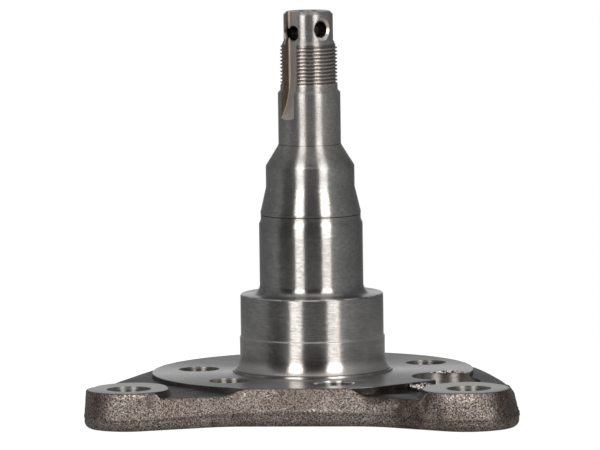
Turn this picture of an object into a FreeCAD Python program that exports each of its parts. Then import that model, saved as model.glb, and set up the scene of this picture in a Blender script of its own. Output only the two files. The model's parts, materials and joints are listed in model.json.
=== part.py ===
import FreeCAD, Part
import math
import os

import Sketcher

# Stub axle for a trailing wheel with a disc brake: one steel forging, part machined.
# A drafted flange plate with two lugs carries a spindle that is turned for a seal,
# two taper bearings and a slotted castle nut. All lengths are millimetres.
# The frame: the origin is on the spindle axis at the flat back face, +Z runs out
# along the spindle, and the two lugs stand on the -Y side, one each side of X = 0.

Vector = FreeCAD.Vector

DRIVING_SIZES = {
    # Thicknesses of the plate, from the flat back face
    "face_height": 10.5,
    "web_height": 8.3,
    "parting_height": 3.8,
    "land_height": 0.8,
    # Lengths along the spindle, in order from the land to the tip
    "lower_collar_length": 8.9,
    "collar_step_length": 0.9,
    "upper_collar_length": 11.15,
    "inner_seat_length": 19.75,
    "seat_run_out": 1.2,
    "relief_length": 1.3,
    "neck_length": 0.8,
    "lower_taper_length": 6.85,
    "middle_length": 5.95,
    "upper_taper_length": 6.0,
    "outer_seat_length": 14.5,
    "thread_lead_in": 0.8,
    "thread_length": 12.55,
    "tip_length": 9.35,
    # Diameters of the disc and the turned spindle
    "disc_diameter": 90.0,
    "collar_diameter": 40.0,
    "inner_seat_diameter": 29.0,
    "middle_diameter": 24.8,
    "outer_seat_diameter": 17.462,
    "thread_diameter": 16.0,
    # Steps in radius, each against the diameter beside it
    "lower_collar_step": 0.3,
    "land_width": 0.6,
    "land_slope": 0.6,
    "relief_step": 0.55,
    "neck_step": 0.45,
    "tip_step": 1.1,
    # Fillets and edge breaks of the turned spindle
    "cove_radius": 2.4,
    "seat_fillet": 2.6,
    "collar_edge_break": 0.4,
    "tip_chamfer": 0.85,
    # Centre hole in the tip, for turning
    "centre_hole_mouth": 5.0,
    "centre_hole_pilot": 2.0,
    "centre_hole_cone": 2.6,
    "centre_hole_depth": 4.2,
    # Forged plate, measured at the parting line of the dies
    "hub_rim_width": 4.6,
    "web_bulge_radius": 220.0,
    "front_margin": 0.3,
    "front_corner_x": 20.0,
    "front_blend_radius": 22.0,
    "front_bridge_angle": 37.0,
    "upper_draft": 13.0,
    "lower_draft": 3.0,
    "bottom_edge_radius": 1.8,
    # Lugs, each with one bolt hole; the left one is steeper than the plate about it
    "lug_hole_x": 46.75,
    "lug_hole_y": 43.7,
    "left_lug_radius": 12.4,
    "right_lug_radius": 13.8,
    "left_lug_draft": 6.0,
    "right_lug_draft": 12.0,
    "lug_hole_diameter": 10.6,
    "lug_hole_chamfer": 0.9,
    # Bolt holes through the disc
    "bolt_hole_diameter": 10.5,
    "bolt_hole_chamfer": 0.5,
    "bolt_circle_radius": 32.4,
    "first_bolt_angle": 175.4,
    "second_bolt_angle": 229.8,
    "third_bolt_angle": 285.7,
    "fourth_bolt_angle": 29.2,
    "fourth_bolt_radius": 35.0,
    # Hole for the wheel speed sensor, which breaks out of the disc's rim
    "sensor_hole_diameter": 19.0,
    "sensor_hole_radius": 41.2,
    "sensor_hole_angle": 339.4,
    # Keyway for the tab washer, cut with a disc cutter
    "keyway_angle": 229.3,
    "keyway_width": 5.0,
    "keyway_floor": 5.0,
    "keyway_cutter_radius": 21.2,
    "keyway_straight_length": 18.0,
    # Cotter pin holes through the tip, at right angles to each other
    "cotter_hole_diameter": 4.2,
    "cotter_sink_diameter": 6.2,
    "cotter_hole_angle": 311.2,
    "upper_cotter_depth": 4.9,
    "lower_cotter_depth": 6.0,
}

document = FreeCAD.newDocument("stub_axle")
sizes = document.addObject("Spreadsheet::Sheet", "sizes")
for row, (alias, value) in enumerate(DRIVING_SIZES.items(), start=1):
    sizes.set(f"A{row}", alias)
    sizes.set(f"B{row}", str(value))
    sizes.setAlias(f"B{row}", alias)
document.recompute()

body = document.addObject("PartDesign::Body", "stub_axle")
body.Label = "stub_axle"

# Directions about the spindle, as angles from +X
FRONT = -90
QUARTER_TURN = 90

# Two points nearer than this are the same
SAME_PLACE = 1e-4

# A coordinate is written as a sum of sheet values, such as {"face_height": 1,
# "land_height": 1}: each alias with its factor. An empty sum lies on the axis.


def amount(terms):
    """The number that a sum of sheet values makes."""
    return sum(factor * DRIVING_SIZES[alias] for alias, factor in terms.items())


def formula(terms):
    """The same sum as an expression on the sheet."""
    return " + ".join(f"{factor} * sizes.{alias}" for alias, factor in terms.items())


def negative(terms):
    """The sum with its sign turned round."""
    return {alias: -factor for alias, factor in terms.items()}


def add(*sums):
    """Several sums as one."""
    total = {}
    for terms in sums:
        for alias, factor in terms.items():
            total[alias] = total.get(alias, 0) + factor
    return total


def new_sketch(name, role):
    """A sketch flat on one of the body's own origin planes."""
    sketch = body.newObject("Sketcher::SketchObject", name)
    plane = next(plane for plane in body.Origin.OriginFeatures if plane.Role == role)
    sketch.AttachmentSupport = [(plane, "")]
    sketch.MapMode = "FlatFace"
    return sketch


def fix_point(sketch, geometry, point, across, up):
    """Hold a point of a sketch at two sums of sheet values from the origin."""
    for kind, axis, terms in (("DistanceX", -2, across), ("DistanceY", -1, up)):
        if terms:
            index = sketch.addConstraint(
                Sketcher.Constraint(kind, -1, 1, geometry, point, amount(terms)))
            sketch.setExpression(f"Constraints[{index}]", formula(terms))
        else:
            sketch.addConstraint(Sketcher.Constraint("PointOnObject", geometry, point, axis))


def fix_radius(sketch, geometry, terms):
    """Hold the radius of a circle or an arc at a sum of sheet values."""
    index = sketch.addConstraint(Sketcher.Constraint("Radius", geometry, amount(terms)))
    sketch.setExpression(f"Constraints[{index}]", formula(terms))


def arc_between(centre, radius, start, end):
    """The arc that runs anticlockwise about a centre from one point to another."""
    circle = Part.Circle(centre, Vector(0, 0, 1), radius)
    first = math.atan2(start.y - centre.y, start.x - centre.x)
    last = math.atan2(end.y - centre.y, end.x - centre.x)
    if last <= first:
        last += 2 * math.pi
    return Part.ArcOfCircle(circle, first, last)


def draw_profile(sketch, corners, coves=None):
    """Close a profile through corners, each a pair of sums for its two coordinates.

    coves maps the number of a corner to the alias of a fillet radius: from there the
    profile reaches the next corner on a hollow quarter circle instead of a line.
    """
    coves = coves or {}
    places = [Vector(amount(across), amount(up), 0) for across, up in corners]
    count = len(places)
    drawn = []
    for i, place in enumerate(places):
        following = places[(i + 1) % count]
        if i in coves:
            centre = Vector(place.x, following.y, 0)
            curve = arc_between(centre, DRIVING_SIZES[coves[i]], following, place)
        else:
            curve = Part.LineSegment(place, following)
        drawn.append(sketch.addGeometry(curve, False))
    for i, (across, up) in enumerate(corners):
        # A cove's arc runs anticlockwise, so the profile enters it at its end point
        leaving_point = 2 if i in coves else 1
        arriving_point = 1 if (i - 1) % count in coves else 2
        sketch.addConstraint(Sketcher.Constraint(
            "Coincident", drawn[i - 1], arriving_point, drawn[i], leaving_point))
        fix_point(sketch, drawn[i], leaving_point, across, up)
        if i in coves:
            fix_radius(sketch, drawn[i], {coves[i]: 1})


def join_tangentially(sketch, joints):
    """Make curves meet end to end and in line: each joint is (curve, end, curve, end)."""
    for first, first_end, second, second_end in joints:
        sketch.addConstraint(
            Sketcher.Constraint("Tangent", first, first_end, second, second_end))


def swing_about_spindle(sketch, terms, extra=0):
    """Turn a sketch that stands on the XZ plane about the spindle axis, its own Y axis."""
    turn = FreeCAD.Rotation(Vector(0, 1, 0), amount(terms) + extra)
    sketch.AttachmentOffset = FreeCAD.Placement(Vector(0, 0, 0), turn)
    sketch.setExpression("AttachmentOffset.Rotation.Angle", f"{formula(terms)} + {extra}")


def new_step(feature_type, name, profile, **bound):
    """A PartDesign feature on a sketch, with its sizes bound to sums of sheet values."""
    feature = body.newObject(feature_type, name)
    feature.Profile = profile
    for size_name, terms in bound.items():
        feature.setExpression(size_name, formula(terms))
    return feature


def turn_about(feature, axis_name):
    """Revolve a feature's sketch fully about one of the sketch's own axes."""
    feature.ReferenceAxis = (feature.Profile[0], [axis_name])
    feature.Angle = 360


def finish_step(feature, solid_before, grows):
    """Recompute, and stop if the feature didn't add or take away what it should."""
    document.recompute()
    change = feature.Shape.Volume - solid_before.Shape.Volume
    if (change <= 0) if grows else (change >= 0):
        raise RuntimeError(f"{feature.Name} changed the volume by {change:.1f} mm3")
    return feature


def edges_where(solid, wanted):
    """Names of the edges of a solid for which wanted(edge) holds."""
    return [f"Edge{i}" for i, edge in enumerate(solid.Shape.Edges, start=1) if wanted(edge)]


# Forged plate: a round hub behind, straight webs to the two lugs, and a front edge that
# is flat at the middle and runs down to the lugs. It is drawn at the parting line, and
# the two dies give it draft above and below.

def bearing_of(gap):
    """The direction of a vector, as an angle from +X."""
    return math.atan2(gap.y, gap.x)


def around(centre, radius, angle):
    """The point on a circle at an angle from +X."""
    return centre + Vector(math.cos(angle), math.sin(angle), 0) * radius


def outline_points(sign, lug_radius):
    """Where the outline's curves meet on one side; sign is -1 on the left, +1 right."""
    lug = Vector(sign * DRIVING_SIZES["lug_hole_x"], -DRIVING_SIZES["lug_hole_y"], 0)
    front = -amount(front_reach)
    corner = Vector(sign * DRIVING_SIZES["front_corner_x"], front, 0)
    # The web is a flat arc that touches the hub's circle and the lug's from outside:
    # its centre lies as far from each of theirs as its radius is larger than theirs
    bulge = DRIVING_SIZES["web_bulge_radius"]
    from_hub = bulge - amount(hub_radius)
    from_lug = bulge - lug_radius
    along = (from_hub ** 2 - from_lug ** 2 + lug.Length ** 2) / (2 * lug.Length)
    aside = math.sqrt(from_hub ** 2 - along ** 2)
    web_centre = around(
        lug.normalize() * along, aside, bearing_of(lug) - sign * math.pi / 2)
    lug = Vector(sign * DRIVING_SIZES["lug_hole_x"], -DRIVING_SIZES["lug_hole_y"], 0)
    # The front slope is a tangent line of the lug from the flat's corner
    reach = corner - lug
    slope_angle = bearing_of(reach) + sign * math.acos(lug_radius / reach.Length)
    lug_front = around(lug, lug_radius, slope_angle)
    # The blend rounds the corner and touches the flat and the slope alike
    run = (lug_front - corner).normalize()
    blend = DRIVING_SIZES["front_blend_radius"]
    cut_back = blend * math.tan(math.acos(run.x * sign) / 2)
    flat_end = corner - Vector(sign * cut_back, 0, 0)
    return {
        "lug": lug, "corner": corner, "web_centre": web_centre,
        "hub_touch": around(Vector(0, 0, 0), amount(hub_radius), bearing_of(-web_centre)),
        "lug_back": around(lug, lug_radius, bearing_of(lug - web_centre)),
        "lug_front": lug_front,
        "slope_start": corner + run * cut_back,
        "flat_end": flat_end,
        "blend_centre": flat_end - Vector(0, blend, 0),
    }


hub_radius = {"disc_diameter": 0.5, "hub_rim_width": 1}
front_reach = {"disc_diameter": 0.5, "front_margin": 1}
left_radius = {"left_lug_radius": 1}
right_radius = {"right_lug_radius": 1}
left = outline_points(-1, amount(left_radius))
right = outline_points(1, amount(right_radius))

outline = new_sketch("plate_outline", "XY_Plane")
outline.setExpression("AttachmentOffset.Base.z", "sizes.parting_height")
hub_arc = outline.addGeometry(arc_between(
    Vector(0, 0, 0), amount(hub_radius), right["hub_touch"], left["hub_touch"]), False)
left_web = outline.addGeometry(arc_between(
    left["web_centre"], DRIVING_SIZES["web_bulge_radius"],
    left["hub_touch"], left["lug_back"]), False)
left_arc = outline.addGeometry(arc_between(
    left["lug"], amount(left_radius), left["lug_back"], left["lug_front"]), False)
left_slope = outline.addGeometry(
    Part.LineSegment(left["lug_front"], left["slope_start"]), False)
left_blend = outline.addGeometry(arc_between(
    left["blend_centre"], DRIVING_SIZES["front_blend_radius"],
    left["flat_end"], left["slope_start"]), False)
front_flat = outline.addGeometry(
    Part.LineSegment(left["flat_end"], right["flat_end"]), False)
right_blend = outline.addGeometry(arc_between(
    right["blend_centre"], DRIVING_SIZES["front_blend_radius"],
    right["slope_start"], right["flat_end"]), False)
right_slope = outline.addGeometry(
    Part.LineSegment(right["slope_start"], right["lug_front"]), False)
right_arc = outline.addGeometry(arc_between(
    right["lug"], amount(right_radius), right["lug_front"], right["lug_back"]), False)
right_web = outline.addGeometry(arc_between(
    right["web_centre"], DRIVING_SIZES["web_bulge_radius"],
    right["lug_back"], right["hub_touch"]), False)
join_tangentially(outline, (
    (hub_arc, 2, left_web, 1), (left_web, 2, left_arc, 1), (left_arc, 2, left_slope, 1),
    (left_slope, 2, left_blend, 2), (left_blend, 1, front_flat, 1),
    (front_flat, 2, right_blend, 2), (right_blend, 1, right_slope, 1),
    (right_slope, 2, right_arc, 1), (right_arc, 2, right_web, 1), (right_web, 2, hub_arc, 1)))
fix_point(outline, hub_arc, 3, {}, {})
fix_point(outline, left_arc, 3, {"lug_hole_x": -1}, {"lug_hole_y": -1})
fix_point(outline, right_arc, 3, {"lug_hole_x": 1}, {"lug_hole_y": -1})
fix_radius(outline, hub_arc, hub_radius)
fix_radius(outline, left_arc, left_radius)
fix_radius(outline, right_arc, right_radius)
for web in (left_web, right_web):
    fix_radius(outline, web, {"web_bulge_radius": 1})
for blend in (left_blend, right_blend):
    fix_radius(outline, blend, {"front_blend_radius": 1})
outline.addConstraint(Sketcher.Constraint("Horizontal", front_flat))
# The corners where the flat and the slopes would meet are kept as points
for points, slope, factor in ((left, left_slope, -1), (right, right_slope, 1)):
    mark = outline.addGeometry(Part.Point(points["corner"]), True)
    fix_point(outline, mark, 1, {"front_corner_x": factor}, negative(front_reach))
    outline.addConstraint(Sketcher.Constraint("PointOnObject", mark, 1, slope))
outline.addConstraint(Sketcher.Constraint("PointOnObject", mark, 1, front_flat))

plate = new_step("PartDesign::Pad", "plate", outline,
                 Length={"face_height": 1, "parting_height": -1},
                 Length2={"parting_height": 1},
                 TaperAngle={"upper_draft": -1},
                 TaperAngle2={"lower_draft": -1})
plate.SideType = "Two sides"
document.recompute()

# Webs: outside the machined disc the forging lies lower, so a ring is taken off there,
# except at the front, where the disc meets the flat

web_sketch = new_sketch("web_level", "XZ_Plane")
rim = {"disc_diameter": 0.5}
beyond = {"disc_diameter": 1}
draw_profile(web_sketch, [
    (rim, {"web_height": 1}), (beyond, {"web_height": 1}),
    (beyond, {"face_height": 2}), (rim, {"face_height": 2})])
swing_about_spindle(web_sketch, {"front_bridge_angle": 0.5}, FRONT)
web_floor = new_step("PartDesign::Groove", "web_floor", web_sketch)
turn_about(web_floor, "V_Axis")
web_floor.setExpression("Angle", "360 - sizes.front_bridge_angle")
finish_step(web_floor, plate, False)

# Lugs: a round drafted boss about each bolt hole, machined level with the disc

solid = web_floor
for side, factor, radius, draft in (
        ("left", -1, left_radius, "left_lug_draft"), ("right", 1, right_radius, "right_lug_draft")):
    boss_sketch = new_sketch(f"{side}_lug_circle", "XY_Plane")
    boss_sketch.setExpression("AttachmentOffset.Base.z", "sizes.parting_height")
    centre = Vector(
        factor * DRIVING_SIZES["lug_hole_x"], -DRIVING_SIZES["lug_hole_y"], 0)
    circle = boss_sketch.addGeometry(
        Part.Circle(centre, Vector(0, 0, 1), amount(radius)), False)
    fix_point(boss_sketch, circle, 3, {"lug_hole_x": factor}, {"lug_hole_y": -1})
    fix_radius(boss_sketch, circle, radius)
    boss = new_step("PartDesign::Pad", f"{side}_lug", boss_sketch,
                    Length={"face_height": 1, "parting_height": -1},
                    Length2={"parting_height": 1},
                    TaperAngle={draft: -1},
                    TaperAngle2={"lower_draft": -1})
    boss.SideType = "Two sides"
    solid = finish_step(boss, solid, True)

# The forging's edge round the flat back face is rounded


def lies_on_back(edge):
    return max(abs(edge.BoundBox.ZMax), abs(edge.BoundBox.ZMin)) < SAME_PLACE


bottom_edge = body.newObject("PartDesign::Fillet", "bottom_edge")
bottom_edge.Base = (solid, edges_where(solid, lies_on_back))
bottom_edge.setExpression("Radius", "sizes.bottom_edge_radius")
solid = finish_step(bottom_edge, solid, False)

# Spindle: turned in one setting, from the raised land on the disc out to the tip.
# Heights add up the lengths in order, and radii add up the steps.

land_top = {"face_height": 1, "land_height": 1}
lower_collar_top = add(land_top, {"lower_collar_length": 1})
upper_collar_foot = add(lower_collar_top, {"collar_step_length": 1})
collar_top = add(upper_collar_foot, {"upper_collar_length": 1})
inner_seat_top = add(collar_top, {"inner_seat_length": 1})
relief_foot = add(inner_seat_top, {"seat_run_out": 1})
relief_top = add(relief_foot, {"relief_length": 1})
lower_taper_foot = add(relief_top, {"neck_length": 1})
lower_taper_top = add(lower_taper_foot, {"lower_taper_length": 1})
upper_taper_foot = add(lower_taper_top, {"middle_length": 1})
outer_seat_foot = add(upper_taper_foot, {"upper_taper_length": 1})
outer_seat_top = add(outer_seat_foot, {"outer_seat_length": 1})
thread_foot = add(outer_seat_top, {"thread_lead_in": 1})
thread_top = add(thread_foot, {"thread_length": 1})
tip_top = add(thread_top, {"tip_length": 1})

collar = {"collar_diameter": 0.5}
lower_collar = add(collar, {"lower_collar_step": 1})
cove_foot = add(lower_collar, {"cove_radius": 1})
land = add(cove_foot, {"land_width": 1})
land_foot = add(land, {"land_slope": 1})
inner_seat = {"inner_seat_diameter": 0.5}
relief = add(inner_seat, {"relief_step": -1})
neck = add(inner_seat, {"neck_step": -1})
middle = {"middle_diameter": 0.5}
outer_seat = {"outer_seat_diameter": 0.5}
thread = {"thread_diameter": 0.5}
tip = add(thread, {"tip_step": -1})

spindle_sketch = new_sketch("spindle_profile", "XZ_Plane")
draw_profile(spindle_sketch, [
    ({}, {"parting_height": 1}),
    (land_foot, {"parting_height": 1}),
    (land_foot, {"face_height": 1}),
    (land, land_top),
    (cove_foot, land_top),
    (lower_collar, add(land_top, {"cove_radius": 1})),
    (lower_collar, lower_collar_top),
    (collar, upper_collar_foot),
    (collar, add(collar_top, {"collar_edge_break": -1})),
    (add(collar, {"collar_edge_break": -1}), collar_top),
    (add(inner_seat, {"seat_fillet": 1}), collar_top),
    (inner_seat, add(collar_top, {"seat_fillet": 1})),
    (inner_seat, inner_seat_top),
    (relief, relief_foot),
    (relief, relief_top),
    (neck, relief_top),
    (neck, lower_taper_foot),
    (middle, lower_taper_top),
    (middle, upper_taper_foot),
    (outer_seat, outer_seat_foot),
    (outer_seat, outer_seat_top),
    (thread, thread_foot),
    (thread, thread_top),
    (tip, add(thread_top, {"tip_step": 1})),
    (tip, add(tip_top, {"tip_chamfer": -1})),
    (add(tip, {"tip_chamfer": -1}), tip_top),
    ({}, tip_top),
], coves={4: "cove_radius", 10: "seat_fillet"})
spindle = new_step("PartDesign::Revolution", "spindle", spindle_sketch)
turn_about(spindle, "V_Axis")
solid = finish_step(spindle, solid, True)

# Centre hole in the tip, a cone that opens from a short drilling

centre_sketch = new_sketch("tip_centre_profile", "XZ_Plane")
pilot = {"centre_hole_pilot": 0.5}
cone_foot = add(tip_top, {"centre_hole_cone": -1})
drill_end = add(tip_top, {"centre_hole_depth": -1})
draw_profile(centre_sketch, [
    ({}, tip_top), ({"centre_hole_mouth": 0.5}, tip_top), (pilot, cone_foot),
    (pilot, drill_end), ({}, drill_end)])
centre_hole = new_step("PartDesign::Groove", "tip_centre", centre_sketch)
turn_about(centre_hole, "V_Axis")
solid = finish_step(centre_hole, solid, False)

# Keyway: a straight floor from the tip, which the disc cutter leaves on an arc

keyway_sketch = new_sketch("keyway_side_view", "XZ_Plane")
cutter = DRIVING_SIZES["keyway_cutter_radius"]
floor_end = add(tip_top, {"keyway_straight_length": -1})
clear_top = add(tip_top, {"keyway_cutter_radius": 1})
floor_foot = Vector(DRIVING_SIZES["keyway_floor"], amount(floor_end), 0)
clear_x = amount(collar)
clear_z = amount(clear_top)
climb = floor_foot.x + cutter - clear_x
leave = Vector(clear_x, floor_foot.y - math.sqrt(cutter ** 2 - climb ** 2), 0)
key_arc = keyway_sketch.addGeometry(
    arc_between(floor_foot + Vector(cutter, 0, 0), cutter, floor_foot, leave), False)
key_out = keyway_sketch.addGeometry(
    Part.LineSegment(leave, Vector(clear_x, clear_z, 0)), False)
key_top = keyway_sketch.addGeometry(
    Part.LineSegment(Vector(clear_x, clear_z, 0), Vector(floor_foot.x, clear_z, 0)), False)
key_floor = keyway_sketch.addGeometry(
    Part.LineSegment(Vector(floor_foot.x, clear_z, 0), floor_foot), False)
join_tangentially(keyway_sketch, ((key_floor, 2, key_arc, 1),))
for first, second, end in ((key_arc, key_out, 1), (key_out, key_top, 1), (key_top, key_floor, 1)):
    keyway_sketch.addConstraint(Sketcher.Constraint("Coincident", first, 2, second, end))
keyway_sketch.addConstraint(Sketcher.Constraint("Horizontal", key_top))
fix_radius(keyway_sketch, key_arc, {"keyway_cutter_radius": 1})
fix_point(keyway_sketch, key_floor, 2, {"keyway_floor": 1}, floor_end)
keyway_sketch.addConstraint(Sketcher.Constraint("Vertical", key_floor))
keyway_sketch.addConstraint(Sketcher.Constraint("Vertical", key_out))
fix_point(keyway_sketch, key_out, 2, collar, clear_top)
swing_about_spindle(keyway_sketch, {"keyway_angle": 1})
keyway = new_step("PartDesign::Pocket", "keyway", keyway_sketch, Length={"keyway_width": 1})
keyway.SideType = "Symmetric"
solid = finish_step(keyway, solid, False)

# Cotter pin holes, each countersunk where it opens on either side of the tip

bore = {"cotter_hole_diameter": 0.5}
mouth = {"cotter_sink_diameter": 0.5}
reach = add(tip, bore)
cone_end = add(reach, negative(mouth))
for name, extra in (("upper_cotter", 0), ("lower_cotter", -QUARTER_TURN)):
    cotter_sketch = new_sketch(f"{name}_profile", "XZ_Plane")
    draw_profile(cotter_sketch, [
        (negative(reach), {}), (negative(reach), add(mouth, bore)), (negative(cone_end), bore),
        (cone_end, bore), (reach, add(mouth, bore)), (reach, {})])
    swing_about_spindle(cotter_sketch, {"cotter_hole_angle": 1}, extra)
    cotter_height = add(tip_top, {f"{name}_depth": -1})
    cotter_sketch.setExpression("AttachmentOffset.Base.y", formula(cotter_height))
    cotter_hole = new_step("PartDesign::Groove", name, cotter_sketch)
    turn_about(cotter_hole, "H_Axis")
    solid = finish_step(cotter_hole, solid, False)

# Holes through the plate: one in each lug, four in the disc and one for the sensor,
# each placed by its distance from the spindle axis and its angle from +X

plate_holes = {
    "first_bolt": ("bolt_circle_radius", "first_bolt_angle", "bolt_hole_diameter"),
    "second_bolt": ("bolt_circle_radius", "second_bolt_angle", "bolt_hole_diameter"),
    "third_bolt": ("bolt_circle_radius", "third_bolt_angle", "bolt_hole_diameter"),
    "fourth_bolt": ("fourth_bolt_radius", "fourth_bolt_angle", "bolt_hole_diameter"),
    "sensor": ("sensor_hole_radius", "sensor_hole_angle", "sensor_hole_diameter"),
}
hole_centres = {}
holes_sketch = new_sketch("plate_hole_circles", "XY_Plane")


def draw_hole(centre, diameter):
    """A circle whose diameter is a sheet value; gives its number in the sketch."""
    circle = holes_sketch.addGeometry(
        Part.Circle(centre, Vector(0, 0, 1), DRIVING_SIZES[diameter] / 2), False)
    index = holes_sketch.addConstraint(
        Sketcher.Constraint("Diameter", circle, DRIVING_SIZES[diameter]))
    holes_sketch.setExpression(f"Constraints[{index}]", f"sizes.{diameter}")
    return circle


for name, (distance, angle, diameter) in plate_holes.items():
    centre = around(
        Vector(0, 0, 0), DRIVING_SIZES[distance], math.radians(DRIVING_SIZES[angle]))
    hole_centres[name] = centre
    circle = draw_hole(centre, diameter)
    for kind, coordinate, function in (
            ("DistanceX", centre.x, "cos"), ("DistanceY", centre.y, "sin")):
        index = holes_sketch.addConstraint(
            Sketcher.Constraint(kind, -1, 1, circle, 3, coordinate))
        holes_sketch.setExpression(
            f"Constraints[{index}]", f"sizes.{distance} * {function}(sizes.{angle} * 1 deg)")
for name, factor in (("left_lug", -1), ("right_lug", 1)):
    centre = Vector(
        factor * DRIVING_SIZES["lug_hole_x"], -DRIVING_SIZES["lug_hole_y"], 0)
    hole_centres[name] = centre
    circle = draw_hole(centre, "lug_hole_diameter")
    fix_point(holes_sketch, circle, 3, {"lug_hole_x": factor}, {"lug_hole_y": -1})
drilling = new_step("PartDesign::Pocket", "plate_holes", holes_sketch)
drilling.Type = "ThroughAll"
drilling.Reversed = True
solid = finish_step(drilling, solid, False)


def is_mouth_of(names):
    """A test for the edges where the named holes open on the front of the plate."""

    def wanted(edge):
        if not isinstance(edge.Curve, Part.Circle):
            return False
        centre = edge.Curve.Center
        on_face = abs(centre.z - DRIVING_SIZES["face_height"]) < SAME_PLACE
        flat = Vector(centre.x, centre.y, 0)
        return on_face and any((flat - hole_centres[name]).Length < SAME_PLACE for name in names)

    return wanted


for name, holes, size in (
        ("bolt_mouths", ("first_bolt", "second_bolt", "fourth_bolt"), "bolt_hole_chamfer"),
        ("wide_mouths", ("third_bolt", "left_lug", "right_lug"), "lug_hole_chamfer")):
    chamfer = body.newObject("PartDesign::Chamfer", name)
    chamfer.Base = (solid, edges_where(solid, is_mouth_of(holes)))
    chamfer.setExpression("Size", f"sizes.{size}")
    solid = finish_step(chamfer, solid, False)

# Every object and the finished solid are checked before anything is written

for thing in document.Objects:
    if "Invalid" in thing.State or "Error" in thing.State:
        raise RuntimeError(f"{thing.Name} failed: {thing.State}")
shape = body.Shape
if shape.isNull() or not shape.isValid() or len(shape.Solids) != 1:
    raise RuntimeError("the stub axle isn't one valid solid")
os.makedirs("parts", exist_ok=True)
shape.exportStep(os.path.join("parts", f"{body.Label}.step"))
print(f"{body.Label}: {shape.Volume:.0f} mm3, {len(shape.Faces)} faces")
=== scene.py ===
import bmesh
import bpy
import json
import math
import numpy as np
from mathutils import Matrix


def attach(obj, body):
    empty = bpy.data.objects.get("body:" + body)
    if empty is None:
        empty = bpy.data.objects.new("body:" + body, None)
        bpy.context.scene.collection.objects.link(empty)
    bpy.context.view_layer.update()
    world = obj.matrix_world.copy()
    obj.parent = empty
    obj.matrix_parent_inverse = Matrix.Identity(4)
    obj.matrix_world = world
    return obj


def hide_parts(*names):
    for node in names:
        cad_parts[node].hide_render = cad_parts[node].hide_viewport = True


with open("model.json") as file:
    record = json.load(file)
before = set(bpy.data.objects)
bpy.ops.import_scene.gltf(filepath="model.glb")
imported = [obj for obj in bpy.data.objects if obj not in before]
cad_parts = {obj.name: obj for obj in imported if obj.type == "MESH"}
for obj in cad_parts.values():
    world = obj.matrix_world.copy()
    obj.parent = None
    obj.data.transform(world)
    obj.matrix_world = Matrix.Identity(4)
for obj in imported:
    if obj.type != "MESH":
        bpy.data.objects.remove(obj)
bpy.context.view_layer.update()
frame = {"record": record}

# Camera. The photograph looks at the front of the plate from about seven degrees
# above it, from nearly two metres, through a long lens.
# The camera's place and turns were fitted to the rings of the spindle.

MM = 0.001                           # the object's sizes below are millimetres
EYE = (171.7, -1869.1, 233.2)
VIEW_DOWN = 0.096589                 # radians below level
VIEW_ASIDE = -0.0932198              # to the right of straight on
VIEW_ROLL = 0.013491
FOCAL_TO_WIDTH = 6740.6 / 600        # focal length as a share of the picture's width
SENSOR_WIDTH = 36.0

forward = np.array([
    math.sin(VIEW_ASIDE) * math.cos(VIEW_DOWN),
    math.cos(VIEW_ASIDE) * math.cos(VIEW_DOWN),
    -math.sin(VIEW_DOWN)])
level_right = np.cross(forward, [0.0, 0.0, 1.0])
level_right /= np.linalg.norm(level_right)
level_down = np.cross(forward, level_right)
right = math.cos(VIEW_ROLL) * level_right + math.sin(VIEW_ROLL) * level_down
down = math.cos(VIEW_ROLL) * level_down - math.sin(VIEW_ROLL) * level_right
camera_data = bpy.data.cameras.new("camera")
camera_data.sensor_width = SENSOR_WIDTH
camera_data.lens = FOCAL_TO_WIDTH * SENSOR_WIDTH
camera_data.clip_end = 20.0
camera = bpy.data.objects.new("camera", camera_data)
pose = np.eye(4)
pose[:3, 0] = right
pose[:3, 1] = -down
pose[:3, 2] = -forward
pose[:3, 3] = np.array(EYE) * MM
camera.matrix_world = Matrix(pose.tolist())
bpy.context.scene.collection.objects.link(camera)
bpy.context.scene.camera = camera
bpy.context.scene.view_settings.view_transform = "Standard"

# Forged plate. A steel forging with a flat back, pressed between two dies that part
# low on its edge: a round hub, bulging webs to two lugs, and a flat front. Its walls
# keep the rough skin of the forge after shot blasting.

DISC_RADIUS = 45.0
FACE_HEIGHT = 10.5
WEB_HEIGHT = 8.3
HUB_RADIUS = 49.6
WEB_BULGE_RADIUS = 220.0
FRONT_FLAT = 45.3
FRONT_CORNER_X = 20.0
FRONT_BLEND_RADIUS = 22.0
LUG_CENTRE = (46.75, -43.7)
LUG_RADIUS = {-1: 12.4, 1: 13.8}
LUG_SWELL = 1.0                      # the right lug's back is this much fuller,
SWELL_PLACE = (6.0, 13.5)            # here from its hole
SWELL_REACH = 6.0
SWELL_FADE = 4.0
UPPER_DRAFT = math.radians(13.0)
LOWER_DRAFT = math.radians(3.0)
BOTTOM_EDGE_RADIUS = 1.8
TOP_EDGE_RADIUS = 0.9
OUTLINE_SPACING = 0.5                # between points along the outline
FLASH_PROUD = 0.14                   # the trimmed flash stands out this far at most,
FLASH_LEAST = 0.35                   # this share of it all round,
HIGH_SKIN = 0.1                      # and all of it where the skin is this high
FLASH_HALF_WIDTH = 0.1               # half its width up the wall at least, and it widens
FLASH_WIDENS = 0.6                   # by this share of the skin's waves above it
WAVES_ABOVE = 2.0
PARTING_MIDDLE = 4.4                 # the dies part higher at the middle of the front
PARTING_LUGS = 3.3
PARTING_REACH = 24.0
BRIDGE_INNER = (-14.2, 13.6)         # the raised bridge at the front, left and right
BRIDGE_OUTER = (-20.6, 18.6)
BRIDGE_SINK = 0.04                   # its top lies this far under the machined face
BRIDGE_DEPTH = (30.0, 40.0)          # how far in front it begins and is whole
LEFT_FULLER = 0.45                   # the web's floor is this much higher on the left,
RIGHT_FULLER = 0.3                   # this much behind on the right,
DISC_RISE = 0.7                      # and rises this much more to the disc's rim
LEFT_FADE = (-30.0, -12.0)           # x over which the left's rise goes,
REAR_FADE = (-32.0, -14.0)           # y over which the rear's comes,
RIM_FADE = (45.0, 53.0)              # and distances over which the rim's goes
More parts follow.
